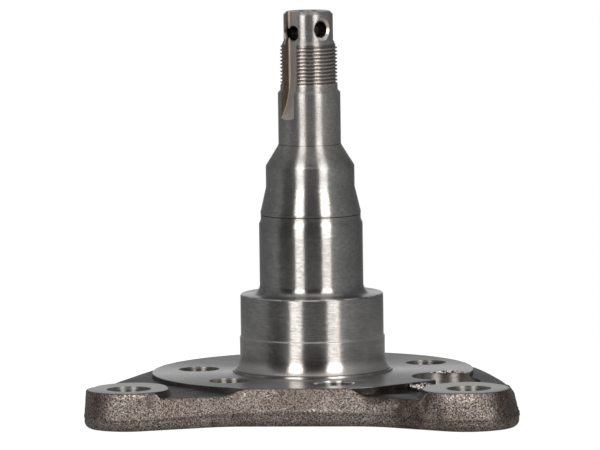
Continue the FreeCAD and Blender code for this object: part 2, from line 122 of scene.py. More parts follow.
# Each finish's number is its slot on the finished mesh; each bore has its own from BORE
SKIN, TURNED, KEY_FLOOR, KEY_WALL, WEB_FLOOR, MILLED, TORN, BORE = range(8)


def smooth_step(value, start, end):
    """0 before start and 1 after end, with 3 u^2 - 2 u^3 between them."""
    u = np.clip((value - start) / (end - start), 0.0, 1.0)
    return u * u * (3.0 - 2.0 * u)


def arc_points(centre, radius, start, end, outward=1.0):
    """Points centre + radius (cos a, sin a) from the bearing of start to that of end,
    turning the short way, each with its normal outward (cos a, sin a)."""
    first = math.atan2(start[1] - centre[1], start[0] - centre[0])
    last = math.atan2(end[1] - centre[1], end[0] - centre[0])
    if outward > 0 and last < first:
        last += 2.0 * math.pi
    if outward < 0 and last > first:
        last -= 2.0 * math.pi
    count = max(3, int(abs(last - first) * radius / OUTLINE_SPACING))
    angle = first + (last - first) * np.arange(count) / count
    normal = np.stack([np.cos(angle), np.sin(angle)], axis=1)
    return np.asarray(centre) + radius * normal, outward * normal


def line_points(start, end):
    """Points start + u (end - start), with the normal to the right of the way."""
    start, end = np.asarray(start, float), np.asarray(end, float)
    run = end - start
    length = np.linalg.norm(run)
    count = max(2, int(length / OUTLINE_SPACING))
    points = start + run * (np.arange(count) / count)[:, None]
    normal = np.array([run[1], -run[0]]) / length
    return points, np.tile(normal, (count, 1))


def side_points(sign):
    """Where the outline's curves meet on one side, -1 left or +1 right."""
    lug = np.array([sign * LUG_CENTRE[0], LUG_CENTRE[1]])
    lug_radius = LUG_RADIUS[sign]
    distance = np.linalg.norm(lug)
    from_hub = WEB_BULGE_RADIUS - HUB_RADIUS
    from_lug = WEB_BULGE_RADIUS - lug_radius
    along = (from_hub ** 2 - from_lug ** 2 + distance ** 2) / (2.0 * distance)
    aside = math.sqrt(from_hub ** 2 - along ** 2)
    toward = lug / distance
    web_centre = toward * along + aside * sign * np.array([toward[1], -toward[0]])
    corner = np.array([sign * FRONT_CORNER_X, -FRONT_FLAT])
    reach = corner - lug
    slope = math.atan2(reach[1], reach[0])
    slope += sign * math.acos(lug_radius / np.linalg.norm(reach))
    lug_front = lug + lug_radius * np.array([math.cos(slope), math.sin(slope)])
    run = (lug_front - corner) / np.linalg.norm(lug_front - corner)
    cut_back = FRONT_BLEND_RADIUS * math.tan(math.acos(run[0] * sign) / 2.0)
    flat_end = corner - np.array([sign * cut_back, 0.0])
    return {
        "lug": lug, "web_centre": web_centre,
        "hub_touch": -web_centre / np.linalg.norm(web_centre) * HUB_RADIUS,
        "lug_back": lug + (lug - web_centre) / from_lug * lug_radius,
        "lug_front": lug_front, "slope_start": corner + run * cut_back,
        "flat_end": flat_end, "blend_centre": flat_end - [0.0, FRONT_BLEND_RADIUS]}


def plate_outline():
    """The plate's outline at the parting line, anticlockwise, with outward normals."""
    left, right_side = side_points(-1), side_points(1)
    runs = [
        arc_points((0.0, 0.0), HUB_RADIUS, right_side["hub_touch"], left["hub_touch"]),
        arc_points(left["web_centre"], WEB_BULGE_RADIUS, left["hub_touch"], left["lug_back"]),
        arc_points(left["lug"], LUG_RADIUS[-1], left["lug_back"], left["lug_front"]),
        line_points(left["lug_front"], left["slope_start"]),
        arc_points(left["blend_centre"], FRONT_BLEND_RADIUS,
                   left["slope_start"], left["flat_end"], outward=-1.0),
        line_points(left["flat_end"], right_side["flat_end"]),
        arc_points(right_side["blend_centre"], FRONT_BLEND_RADIUS,
                   right_side["flat_end"], right_side["slope_start"], outward=-1.0),
        line_points(right_side["slope_start"], right_side["lug_front"]),
        arc_points(right_side["lug"], LUG_RADIUS[1],
                   right_side["lug_front"], right_side["lug_back"]),
        arc_points(right_side["web_centre"], WEB_BULGE_RADIUS,
                   right_side["lug_back"], right_side["hub_touch"])]
    return np.concatenate([r[0] for r in runs]), np.concatenate([r[1] for r in runs])


def closed_grid(rows, bottom_pole, top_pole, name, side_materials, bottom_material,
                top_material):
    """A closed mesh from rings of equal length, stacked from bottom to top, each running
    anticlockwise, with a fan to a pole at either end. The side materials are one number,
    or one for each gap between two rings."""
    rows = np.asarray(rows)
    ring_count, ring_size = rows.shape[:2]
    points = np.concatenate([rows.reshape(-1, 3), [bottom_pole], [top_pole]])
    ring = np.arange(ring_size)
    following = (ring + 1) % ring_size
    lower = (np.arange(ring_count - 1) * ring_size)[:, None]
    quads = np.stack([
        lower + ring, lower + following,
        lower + ring_size + following, lower + ring_size + ring], axis=-1).reshape(-1, 4)
    last_ring = (ring_count - 1) * ring_size
    pole = ring_count * ring_size
    bottom_fan = np.stack([following, ring, np.full(ring_size, pole)], axis=1)
    top_fan = np.stack([last_ring + ring, last_ring + following,
                        np.full(ring_size, pole + 1)], axis=1)
    mesh = bpy.data.meshes.new(name)
    mesh.from_pydata(points, [], quads.tolist() + bottom_fan.tolist() + top_fan.tolist())
    side_numbers = np.repeat(np.zeros(ring_count - 1, int) + side_materials, ring_size)
    numbers = np.concatenate([side_numbers, np.full(ring_size, bottom_material),
                              np.full(ring_size, top_material)])
    mesh.polygons.foreach_set("material_index", numbers)
    blank = bpy.data.objects.new(name, mesh)
    bpy.context.scene.collection.objects.link(blank)
    return blank


def floor_height(x, y):
    """Height of the forged floor: the web's, fuller on the left and behind, rising
    smoothly toward the disc there and to the bridge in front."""
    left = 1.0 - smooth_step(x, *LEFT_FADE)
    behind = smooth_step(y, *REAR_FADE)
    web = WEB_HEIGHT + LEFT_FULLER * left + RIGHT_FULLER * behind * (1.0 - left)
    near_disc = 1.0 - smooth_step(np.hypot(x, y), *RIM_FADE)
    web = web + DISC_RISE * near_disc * np.maximum(left, behind)
    bridge = smooth_step(x, BRIDGE_OUTER[0], BRIDGE_INNER[0])
    bridge = bridge * (1.0 - smooth_step(x, BRIDGE_INNER[1], BRIDGE_OUTER[1]))
    bridge = bridge * smooth_step(-y, *BRIDGE_DEPTH)
    return web + (FACE_HEIGHT - BRIDGE_SINK - web) * bridge


# The milled pad on each lug: its reach from the hole, by bearing in degrees
PAD_REACH = {
    -1: [(0, 10.9), (38, 12.0), (70, 14.6), (95, 14.8), (117, 13.9), (146, 12.0),
         (189, 11.6), (221, 11.3), (247, 11.35), (271, 11.3), (296, 11.0), (335, 10.8)],
    1: [(0, 11.1), (30, 11.6), (58, 12.6), (89, 14.8), (112, 14.5), (132, 13.7), (151, 12.95),
        (180, 12.8), (211, 12.75), (233, 12.7), (250, 12.3), (280, 11.6), (313, 11.3)]}
LUG_SHARE = {-1: (0.6, 1.3), 1: (1.2, 2.4)}     # where the wall drops from lug to web
PAD_MARGIN = 0.3                     # of the wall's top beyond the pad
PAD_EDGE_INSET = 0.6                 # the wall leans in at least this much, in millimetres,
STEEPEST_LEAN = 0.38                 # and at most this much for each millimetre of height
LEAST_SQUARE = 60.0                  # keeps the pad's edge real where the wall bends away
SHARPER_AT_PAD = 0.6                 # share by which the top edge is sharper there


def pad_reach(angle, sign):
    """The pad's reach at an angle: a constant and five waves round the hole, fitted to
    its reaches by least squares."""
    def waves(turn):
        turn = np.asarray(turn, float)
        return np.stack([turn * 0.0 + 1.0] + [wave(k * turn) for k in range(1, 6)
                                             for wave in (np.cos, np.sin)], axis=-1)
    known = np.array(PAD_REACH[sign])
    fit = np.linalg.lstsq(waves(np.radians(known[:, 0])), known[:, 1], rcond=0.02)[0]
    return waves(angle) @ fit


outline, outline_normal = plate_outline()
swell = outline - [LUG_CENTRE[0] + SWELL_PLACE[0], LUG_CENTRE[1] + SWELL_PLACE[1]]
outline = outline + outline_normal * LUG_SWELL * np.exp(
    -(np.linalg.norm(swell, axis=1) / SWELL_REACH) ** 2)[:, None]
parting = PARTING_LUGS + (PARTING_MIDDLE - PARTING_LUGS) * np.exp(
    -(outline[:, 0] / PARTING_REACH) ** 2)
wall_top = floor_height(outline[:, 0], outline[:, 1])
wall_slope = np.full_like(wall_top, math.tan(UPPER_DRAFT))
for sign in (-1, 1):
    from_lug = outline - [sign * LUG_CENTRE[0], LUG_CENTRE[1]]
    distance = np.linalg.norm(from_lug, axis=1)
    swollen = LUG_SWELL * (sign + 1) / 2.0 * smooth_step(from_lug[:, 1], 0.0, SWELL_FADE)
    share = 1.0 - smooth_step(distance - LUG_RADIUS[sign] - swollen, *LUG_SHARE[sign])
    wall_top += (FACE_HEIGHT - BRIDGE_SINK - wall_top) * share
    # The wall leans in to the pad's edge: over the straight runs the edge curves away
    bearing = np.arctan2(from_lug[:, 1], from_lug[:, 0])
    beyond = np.sum(from_lug * outline_normal, axis=1)
    along = np.maximum(distance ** 2 - beyond ** 2, 0.0)
    square = (pad_reach(bearing, sign) + PAD_MARGIN) ** 2 - along
    edge = np.sqrt(np.maximum(square, LEAST_SQUARE))
    lean = (beyond - np.minimum(edge, beyond - PAD_EDGE_INSET)) / (FACE_HEIGHT - parting)
    wall_slope += (np.minimum(lean, STEEPEST_LEAN) - wall_slope) * share
top_radius = TOP_EDGE_RADIUS - SHARPER_AT_PAD * TOP_EDGE_RADIUS * smooth_step(
    wall_top, WEB_HEIGHT, FACE_HEIGHT)


def wall_ring(inset, height):
    """The outline moved inward by inset at a height, both one number per point."""
    plan = outline - outline_normal * np.asarray(inset)[:, None]
    return np.concatenate([plan, np.asarray(height)[:, None]], axis=1)


# The skin's waves, long ones from the die and short ones from the grain: crests round
# the outline, radians for each millimetre up, and depth
SKIN_WAVES = [(36, 0.05, 0.05), (55, 0.4, 0.04), (83, 0.9, 0.04), (131, 1.3, 0.03),
              (197, 1.9, 0.025), (263, 2.7, 0.02)]
SKIN_SEED = 7
SKIN_START = (0.3, 1.6)              # heights over which the waves come in
TOP_WAVES = 0.2                      # the share of them that is left at the wall's top
TOP_FADE = (0.6, 1.0)                # shares of the wall over which the rest goes
BACK_RINGS = (0.35, 0.7)             # the back's rings, as shares of the way out
FLOOR_RINGS = (0.5, 1.5, 3.0)        # how far in from the wall's top the floor's first are,
INNER_RINGS = (0.9, 0.8, 0.65, 0.4)  # and its others, as shares of the way out
FLOOR_FALL = (0.4, 2.5)              # over which the wall's top comes down to the floor
FLOOR_CLEAR = 0.5                    # the floor stays this far under the machined face


def hammered(height):
    """How far the skin stands out at a height, in mm: the sum of depth times
    sin(crests times the way round) cos(rise times the height), each with seeded phases."""
    chance = np.random.default_rng(SKIN_SEED)
    share = np.arange(len(outline)) / len(outline)
    total = 0.0 * share
    for crests, rise, depth in SKIN_WAVES:
        phase = chance.uniform(0.0, 2.0 * math.pi, 2)
        total += depth * np.sin(2.0 * math.pi * crests * share + phase[0]) \
            * np.cos(rise * height + phase[1])
    return total * smooth_step(height, *SKIN_START)


# The forging's rings, from the back's middle out, up the wall and in over the floor
rows = []
back_inset = BOTTOM_EDGE_RADIUS + parting * math.tan(LOWER_DRAFT)
for share in BACK_RINGS:
    ring = wall_ring(back_inset, 0.0 * parting)
    rows.append(ring * [share, share, 1.0])
for turn in np.linspace(0.0, math.pi / 2.0, 6):
    height = BOTTOM_EDGE_RADIUS * (1.0 - math.cos(turn)) + 0.0 * parting
    inset = BOTTOM_EDGE_RADIUS * (1.0 - math.sin(turn))
    rows.append(wall_ring(inset + (parting - height) * math.tan(LOWER_DRAFT), height))
for share in (0.4, 0.8):
    height = BOTTOM_EDGE_RADIUS + (parting - BOTTOM_EDGE_RADIUS) * share
    rows.append(wall_ring((parting - height) * math.tan(LOWER_DRAFT) - hammered(height),
                          height))
flash = FLASH_PROUD * (FLASH_LEAST + (1.0 - FLASH_LEAST) * np.abs(hammered(parting)) / HIGH_SKIN)
flash = flash + hammered(parting)
half_width = FLASH_HALF_WIDTH + FLASH_WIDENS * np.abs(hammered(parting + WAVES_ABOVE))
rows.append(wall_ring(-flash, parting - half_width))
rows.append(wall_ring(-flash, parting + half_width))
wall_end = wall_top - top_radius
for share in np.linspace(0.08, 1.0, 9):
    height = parting + (wall_end - parting) * share
    fade = 1.0 - (1.0 - TOP_WAVES) * smooth_step(share, *TOP_FADE)
    rows.append(wall_ring((height - parting) * wall_slope - fade * hammered(height), height))
wall_inset = (wall_end - parting) * wall_slope - TOP_WAVES * hammered(wall_end)
for turn in np.linspace(0.0, math.pi / 2.0, 6)[1:]:
    height = wall_end + top_radius * math.sin(turn)
    rows.append(wall_ring(wall_inset + top_radius * (1.0 - math.cos(turn)), height))
floor_row = len(rows) - 1
for inward in FLOOR_RINGS:
    plan = wall_ring(wall_inset + top_radius + inward, wall_top)
    floor_there = floor_height(plan[:, 0], plan[:, 1])
    fall = smooth_step(inward, *FLOOR_FALL)
    plan[:, 2] += (floor_there - plan[:, 2]) * fall
    rows.append(plan)
last = rows[-1]
for share in INNER_RINGS:
    plan = last * [share, share, 1.0]
    plan[:, 2] = np.minimum(floor_height(plan[:, 0], plan[:, 1]), FACE_HEIGHT - FLOOR_CLEAR)
    rows.append(plan)
row_materials = np.where(np.arange(len(rows) - 1) < floor_row, SKIN, WEB_FLOOR)
forging = closed_grid(rows, (0.0, 0.0, 0.0), (0.0, 0.0, WEB_HEIGHT), "forging",
                      row_materials, SKIN, WEB_FLOOR)

materials = {}                       # by the slot's number
SMOOTH = {"interpolation_type": "SMOOTHSTEP"}


def linear(sheet_colour):
    """Scene-linear RGBA from an sRGB hex string such as 7a6d66."""
    channels = [int(sheet_colour[i:i + 2], 16) / 255.0 for i in (0, 2, 4)]
    return tuple(c / 12.92 if c <= 0.04045 else ((c + 0.055) / 1.055) ** 2.4
                 for c in channels) + (1.0,)


def add_node(tree, kind, *values, **named):
    """Adds a shader node and returns its first live output. Names in small letters are
    its settings and names with a capital its sockets, with _ for a space; plain values
    go to its live sockets in order. A value may be another node's output."""
    node = tree.nodes.new("ShaderNode" + kind)
    for name, setting in named.items():
        if name[0].islower():
            setattr(node, name, setting)
    pairs = list(zip([socket for socket in node.inputs if socket.enabled], values))
    pairs += [(node.inputs[name.replace("_", " ")], value)
              for name, value in named.items() if name[0].isupper()]
    for socket, value in pairs:
        if isinstance(value, bpy.types.NodeSocket):
            tree.links.new(value, socket)
        else:
            socket.default_value = value
    return next((socket for socket in node.outputs if socket.enabled), None)


def overlap(tree, *masks):
    """Where all of some masks show: their product. Each is a number or an output."""
    product = masks[0]
    for mask in masks[1:]:
        product = add_node(tree, "Math", product, mask, operation="MULTIPLY")
    return product


def soft_band(tree, value, rise=None, fall=None, unit=1.0):
    """A mask of a value: from 0 to 1 over the rise and back to 0 over the fall, each a
    start and an end in the unit, with 3 u^2 - 2 u^3 between them."""
    return overlap(tree, *[
        add_node(tree, "MapRange", value, edge[0] * unit, edge[1] * unit, low, high, **SMOOTH)
        for edge, low, high in ((rise, 0.0, 1.0), (fall, 1.0, 0.0)) if edge])


def nearness(tree, spot, centre, reach, soft=0.6):
    """1 in the middle of an oval patch and 0 outside it: the distance from its centre
    over its reach along x, y and z, all in millimetres."""
    away = add_node(tree, "VectorMath", spot, [c * MM for c in centre], operation="SUBTRACT")
    away = add_node(tree, "VectorMath", away, [r * MM for r in reach], operation="DIVIDE")
    length = add_node(tree, "VectorMath", away, operation="LENGTH")
    return soft_band(tree, length, fall=(1.0 - soft, 1.0))


def stain_or_painted_light(tree, tone, mask, share, colour):
    """A colour laid over the tone by a share of a mask: stains, and painted light and shade."""
    return add_node(tree, "Mix", overlap(tree, mask, share), tone, linear(colour),
                    data_type="RGBA")


def start_material(number, name, metallic, roughness):
    """A plain material for a slot: its node tree and shader, and a point's place in
    metres, as a vector and as x, y and z."""
    materials[number] = bpy.data.materials.new(name)
    materials[number].use_nodes = True
    tree = materials[number].node_tree
    shader = tree.nodes["Principled BSDF"]
    shader.inputs["Metallic"].default_value = metallic
    shader.inputs["Roughness"].default_value = roughness
    spot = add_node(tree, "TexCoord").node.outputs["Object"]
    return (tree, shader, spot, *add_node(tree, "SeparateXYZ", spot).node.outputs)


def finish_material(tree, shader, tone, relief, depth):
    """Gives the shader its tone, and its bump from a relief that is depth deep in
    millimetres, and returns the bump."""
    bump = add_node(tree, "Bump", Height=relief, Distance=depth * MM, Strength=1.0)
    tree.links.new(tone, shader.inputs["Base Color"])
    tree.links.new(bump, shader.inputs["Normal"])
    return bump


# Forged skin: steel blasted with shot. Its grains are a quarter of a millimetre wide,
# drawn at almost half a millimetre so that they show, and some carry painted glints.
GRAINS = 2.3                         # to the millimetre, as are the other patterns
PAINTED_GLINTS = 2.6
CLOUDS = 0.12
# Painted shade at both ends, where the wall turns from the lamps, and under the bridge's right
# end; brown stains on both lugs, those on the right lug deepened by painted shade
SHADE_AND_STAIN_PATCHES = [                     # place, reach, share and colour of each
    ((31.0, -50.5, 6.0), (7.5, 7.0, 12.0), 0.6, "33261f"),
    ((56.5, -50.0, 7.0), (4.5, 9.0, 9.0), 0.45, "3a2b22"),
    ((-54.5, -53.0, 7.5), (2.5, 4.0, 4.0), 0.35, "4a3626"),
    ((-62.0, -44.0, 5.0), (5.6, 16.0, 11.0), 0.85, "2d2f31"),
    ((62.0, -42.0, 4.0), (5.0, 14.0, 9.0), 0.5, "2e2a2a"),
    ((22.0, -46.0, 7.5), (6.0, 5.0, 2.0), 0.7, "2a201b")]
HIGHLIGHT_FLAKE_PATCHES = [                     # place, reach and share of painted highlights, broken into flakes
    ((4.7, -45.4, 4.6), (9.0, 4.0, 0.5), 0.6), ((45.0, -57.0, 9.3), (8.0, 5.0, 1.6), 0.8),
    ((-44.0, -56.0, 9.8), (7.0, 4.0, 0.9), 0.8), ((-15.5, -46.0, 8.6), (3.0, 4.0, 2.2), 0.7),
    ((25.0, -47.0, 6.5), (6.0, 4.0, 1.2), 0.3), ((-49.0, -55.0, 7.5), (3.5, 4.0, 3.0), 0.5)]
FLAKES = 1.5
tree, shader, spot, x, y, z = start_material(SKIN, "forged_skin", 0.9, 0.42)
grain = add_node(tree, "TexNoise", spot, GRAINS / MM, 3.0, 0.65)
painted_glint = add_node(tree, "TexNoise", spot, PAINTED_GLINTS / MM, 1.0, 0.5)
cloud = add_node(tree, "TexNoise", spot, CLOUDS / MM, 3.0, 0.6)
tone = add_node(tree, "Mix", soft_band(tree, grain, (0.34, 0.66)),
                linear("3d3430"), linear("bcb2ac"), data_type="RGBA")
# Painted glints: near-white specks where grains would catch the lamps
tone = stain_or_painted_light(tree, tone, soft_band(tree, painted_glint, (0.62, 0.74)), 1.0, "fff6ec")
tone = stain_or_painted_light(tree, tone, soft_band(tree, cloud, fall=(0.35, 0.75)), 0.4, "5a473a")
# Painted shade: the wall below the parting, which leans to face down, is laid a little darker
tone = stain_or_painted_light(tree, tone, soft_band(tree, z, fall=(3.3, 4.5), unit=MM), 0.1, "3c332e")
for centre, reach, share, colour in SHADE_AND_STAIN_PATCHES:
    tone = stain_or_painted_light(tree, tone, nearness(tree, spot, centre, reach), share, colour)
flakes = add_node(tree, "TexNoise", spot, FLAKES / MM, 2.0, 0.5)
flakes = soft_band(tree, flakes, (0.48, 0.62))
# Painted highlights on edges and ridges of the skin, broken into flakes
for centre, reach, share in HIGHLIGHT_FLAKE_PATCHES:
    patch = overlap(tree, nearness(tree, spot, centre, reach), flakes)
    tone = stain_or_painted_light(tree, tone, patch, share, "fff4e8")
finish_material(tree, shader, tone, grain, 0.18)

# Web floor: the same skin pressed smooth by the die, with little grain, and darker, partly
# as painted shade under the disc. By the disc's rim toward the right lug it is darkened
# nearly black.
WEB_GRAINS = 0.9
WEB_CLOUDS = 0.11
RIM_DARKENING = ((24.0, -37.0, 9.7), (17.0, 13.0, 2.2), 0.4)
RIM_DARKENING_STREAKS = 0.42
# Painted shade on the left boss's flank and at the right lug's inner corner, and a light grey
# patch
WEB_PATCHES = [                      # place, reach, share and colour of each
    ((-36.5, -50.0, 9.2), (7.0, 6.0, 3.0), 0.55, "2e2420"),
    ((34.0, -40.0, 8.3), (8.0, 8.0, 2.0), 0.5, "3a302c"),
    ((27.0, -41.0, 8.6), (6.0, 4.0, 0.9), 0.6, "b4b0ae")]
tree, shader, spot, x, y, z = start_material(WEB_FLOOR, "web_floor", 0.85, 0.45)
grain = add_node(tree, "TexNoise", spot, WEB_GRAINS / MM, 2.0, 0.5)
cloud = add_node(tree, "TexNoise", spot, WEB_CLOUDS / MM, 3.0, 0.6)
# Darker than the skin, partly painted shade under the disc
tone = add_node(tree, "Mix", soft_band(tree, cloud, (0.3, 0.7)),
                linear("4f4d4c"), linear("787472"), data_type="RGBA")
rim_darkened = nearness(tree, spot, *RIM_DARKENING)
tone = stain_or_painted_light(tree, tone, rim_darkened, 0.85, "2a2120")
streak = add_node(tree, "TexNoise", spot, RIM_DARKENING_STREAKS / MM, 3.0, 0.7)
tone = stain_or_painted_light(tree, tone, overlap(tree, rim_darkened, soft_band(tree, streak, (0.5, 0.7))), 0.2,
             "8f8a88")
rough = add_node(tree, "TexNoise", spot, GRAINS / MM, 3.0, 0.65)
tone = stain_or_painted_light(tree, tone, soft_band(tree, rough, fall=(0.46, 0.6)), 0.3, "2a2624")
for centre, reach, share, colour in WEB_PATCHES:
    tone = stain_or_painted_light(tree, tone, nearness(tree, spot, centre, reach), share, colour)
finish_material(tree, shader, tone, grain, 0.06)

# Turned spindle and disc. One setting in a lathe gives the disc, the land, the coves,
# the collar for the seal ring, the two ground bearing seats, the tapers and the tip.
# The thread is a true helix of one millimetre pitch, rolled before the keyway is cut.

RIM_FOOT_RADIUS = 0.5
LAND_TOP = 11.05
LAND_RADIUS = 22.3
COVE_RADIUS = 5.4
COVE_START = 15.0                    # the height at which the cove leaves the collar
LOWER_COLLAR_RADIUS = 20.3
COLLAR_RADIUS = 20.0
COLLAR_TOP = 32.25
SEAT_FILLET = 2.6
INNER_SEAT_RADIUS = 14.5
OUTER_SEAT_RADIUS = 8.731
THREAD_RADIUS = 8.0
TIP_RADIUS = 6.9
OVERALL_HEIGHT = 111.3
CENTRE_HOLE_BOTTOM = 106.9           # the height of the lathe centre's point in the tip
THREAD_FOOT = 89.4
THREAD_TOP = 101.95
THREAD_PITCH = 1.0
THREAD_DEPTH = 0.56
THREAD_CREST = 0.07                  # half a crest, as a share of the pitch
THREAD_FLANK = 0.36                  # a flank, as a share of the pitch
THREAD_ROUND = 1.3                   # the power that rounds the crest's shoulders
THREAD_FADE = (1.2, 2.0)             # from its foot, over which the thread comes in
LEAD_IN_HEIGHT = 0.7                 # the chamfer at its top
LEAD_IN_SLOPE = 0.8
THREAD_ROWS = 12                     # rows of points for each turn of the thread
TURN_COUNT = 240                     # columns of points round the spindle
turn_angle = np.arange(TURN_COUNT) * 2.0 * math.pi / TURN_COUNT


def profile_arc(centre, radius, first, last, count):
    """Profile points (r, z) on an arc, from one angle to another in degrees."""
    angle = np.radians(np.linspace(first, last, count))
    return [(centre[0] + radius * math.cos(a), centre[1] + radius * math.sin(a))
            for a in angle]


def profile_run(corners, step):
    """Profile points (r, z) along straight runs, at most a step apart."""
    points = []
    for start, end in zip(corners[:-1], corners[1:]):
        start, end = np.array(start), np.array(end)
        count = max(1, int(np.linalg.norm(end - start) / step))
        points += [tuple(start + (end - start) * i / count) for i in range(count)]
    return points + [tuple(corners[-1])]


DISC_BURIED = 7.0                    # the disc's underside is inside the forging
DISC_SKIRT = 1.6                     # and reaches this far past the rim
FRONT_CUT = 43.3                     # the rim is cut back to this reach in front
SIDE_CUT = 42.9                      # and this toward the right lug
SIDE_CUT_BEARING = math.radians(316.0)
CUT_SLOPE = 0.2
FACE_INSET = 0.6                     # the face's first ring lies this far inside the rim
NEVER_LESS = 1e-6
disc_profile = (
    [(30.0, DISC_BURIED), (DISC_RADIUS + DISC_SKIRT, DISC_BURIED), (DISC_RADIUS + 1.5, 8.1)]
    + profile_arc((DISC_RADIUS + RIM_FOOT_RADIUS, WEB_HEIGHT + RIM_FOOT_RADIUS + 0.03),
                  RIM_FOOT_RADIUS, 270.0, 180.0, 5)
    + [(DISC_RADIUS, 10.38), (DISC_RADIUS - 0.12, FACE_HEIGHT)])
spindle_profile = (
    profile_run([(44.0, FACE_HEIGHT), (23.4, FACE_HEIGHT)], 4.0)
    + [(22.9, FACE_HEIGHT), (LAND_RADIUS + 0.2, FACE_HEIGHT + 0.03),
       (LAND_RADIUS + 0.08, LAND_TOP - 0.12), (LAND_RADIUS, LAND_TOP),
       (LAND_RADIUS - 0.32, LAND_TOP)]
    + profile_arc((LOWER_COLLAR_RADIUS + COVE_RADIUS, COVE_START),
                  COVE_RADIUS, 225.0, 180.0, 12)
    + profile_run([(LOWER_COLLAR_RADIUS, 15.5), (LOWER_COLLAR_RADIUS, 20.1)], 1.5)
    + [(LOWER_COLLAR_RADIUS, 20.26), (COLLAR_RADIUS, 20.56), (COLLAR_RADIUS, 20.9)]
    + profile_run([(COLLAR_RADIUS, 21.5), (COLLAR_RADIUS, COLLAR_TOP - 0.8)], 3.0)
    + [(COLLAR_RADIUS, COLLAR_TOP - 0.34), (COLLAR_RADIUS - 0.26, COLLAR_TOP - 0.05),
       (COLLAR_RADIUS - 0.5, COLLAR_TOP)]
    + [(17.6, COLLAR_TOP)]
    + profile_arc((INNER_SEAT_RADIUS + SEAT_FILLET, COLLAR_TOP + SEAT_FILLET),
                  SEAT_FILLET, 266.0, 180.0, 12)
    + profile_run([(INNER_SEAT_RADIUS, 35.4), (INNER_SEAT_RADIUS, 51.85)], 3.0)
    + [(INNER_SEAT_RADIUS - 0.04, 52.05), (14.04, 53.0), (14.0, 53.3), (14.0, 54.35),
       (13.9, 54.42), (13.9, 54.5), (14.02, 54.56), (14.05, 55.2), (14.0, 55.45)]
    + profile_run([(13.9, 55.75), (12.47, 61.95)], 2.0)
    + profile_run([(12.4, 62.4), (12.4, 67.85)], 2.0)
    + profile_run([(12.3, 68.3), (8.85, 73.9)], 2.0)
    + profile_run([(OUTER_SEAT_RADIUS, 74.3), (OUTER_SEAT_RADIUS, 88.45)], 3.0)
    + [(OUTER_SEAT_RADIUS - 0.05, 88.65), (THREAD_RADIUS + 0.02, THREAD_FOOT - 0.05)])
thread_heights = np.arange(
    THREAD_FOOT, THREAD_TOP + 0.001, THREAD_PITCH / THREAD_ROWS)
tip_profile = [(7.1, 102.85), (TIP_RADIUS, 103.15), (TIP_RADIUS, 105.0), (TIP_RADIUS, 107.5),
               (TIP_RADIUS, 110.35), (6.85, 110.5), (6.15, 111.2), (6.0, OVERALL_HEIGHT),
               (2.6, OVERALL_HEIGHT), (2.4, 111.1), (1.0, 108.7), (1.0, 107.1)]


def thread_cut(height, angle):
    """How deep the thread is cut, from 0 on a crest to 1 at a root, on a helix: a flat
    crest a seventh of the pitch wide, then the sine of the way down the flank, to a
    power, into a root as flat."""
    phase = (height / THREAD_PITCH - angle / (2.0 * math.pi)) % 1.0
    from_crest = 0.5 - np.abs(phase - 0.5)
    flank = np.clip((from_crest - THREAD_CREST) / THREAD_FLANK, 0.0, 1.0)
    return np.sin(flank * math.pi / 2.0) ** THREAD_ROUND


def turned_ring(radius, height):
    """A ring about the spindle, its radius one number or one per column."""
    radius = np.asarray(radius) + 0.0 * turn_angle
    return np.stack([radius * np.cos(turn_angle), radius * np.sin(turn_angle),
                     height + 0.0 * turn_angle], axis=1)


# The disc's rim is cut back along the front flat, where the forging's wall ends it, and
# a little toward the right lug
front_reach = FRONT_CUT / np.maximum(-np.sin(turn_angle), NEVER_LESS)
side_reach = SIDE_CUT / np.maximum(np.cos(turn_angle - SIDE_CUT_BEARING), NEVER_LESS)
rim_reach = np.minimum(front_reach, side_reach)
rings = [turned_ring(np.minimum(r, rim_reach - (DISC_RADIUS + DISC_SKIRT - r) * CUT_SLOPE), z)
         for r, z in disc_profile]
rings += [turned_ring(np.minimum(r, rim_reach - FACE_INSET), z) for r, z in spindle_profile]
for height in thread_heights:
    fade = smooth_step(height, THREAD_FOOT + THREAD_FADE[0], THREAD_FOOT + THREAD_FADE[1])
    lead_in = max(0.0, height - (THREAD_TOP - LEAD_IN_HEIGHT)) * LEAD_IN_SLOPE
    cut = THREAD_DEPTH * thread_cut(height, turn_angle) * fade
    rings.append(turned_ring(np.minimum(THREAD_RADIUS - cut, THREAD_RADIUS - lead_in), height))
rings += [turned_ring(r, z) for r, z in tip_profile]
# The disc's underside and rim wall take the web floor's finish, darker partly as painted shade
row_materials = np.where(np.arange(len(rings) - 1) < len(disc_profile) - 2, WEB_FLOOR, TURNED)
turning = closed_grid(rings, (0.0, 0.0, DISC_BURIED), (0.0, 0.0, CENTRE_HOLE_BOTTOM), "turning",
                      row_materials, TURNED, TURNED)


def distance_out(tree, x, y):
    """The distance from a vertical axis: the root of x^2 + y^2."""
    square = add_node(tree, "Math", overlap(tree, x, x), overlap(tree, y, y), operation="ADD")
    return add_node(tree, "Math", square, operation="SQRT")


MARK_DRIFT = 4.0                     # round the axis, the marks change as at this radius
LEAST_RADIUS = 0.5                   # keeps the marks whole on the axis itself
QUARTER_TURN = 0.25


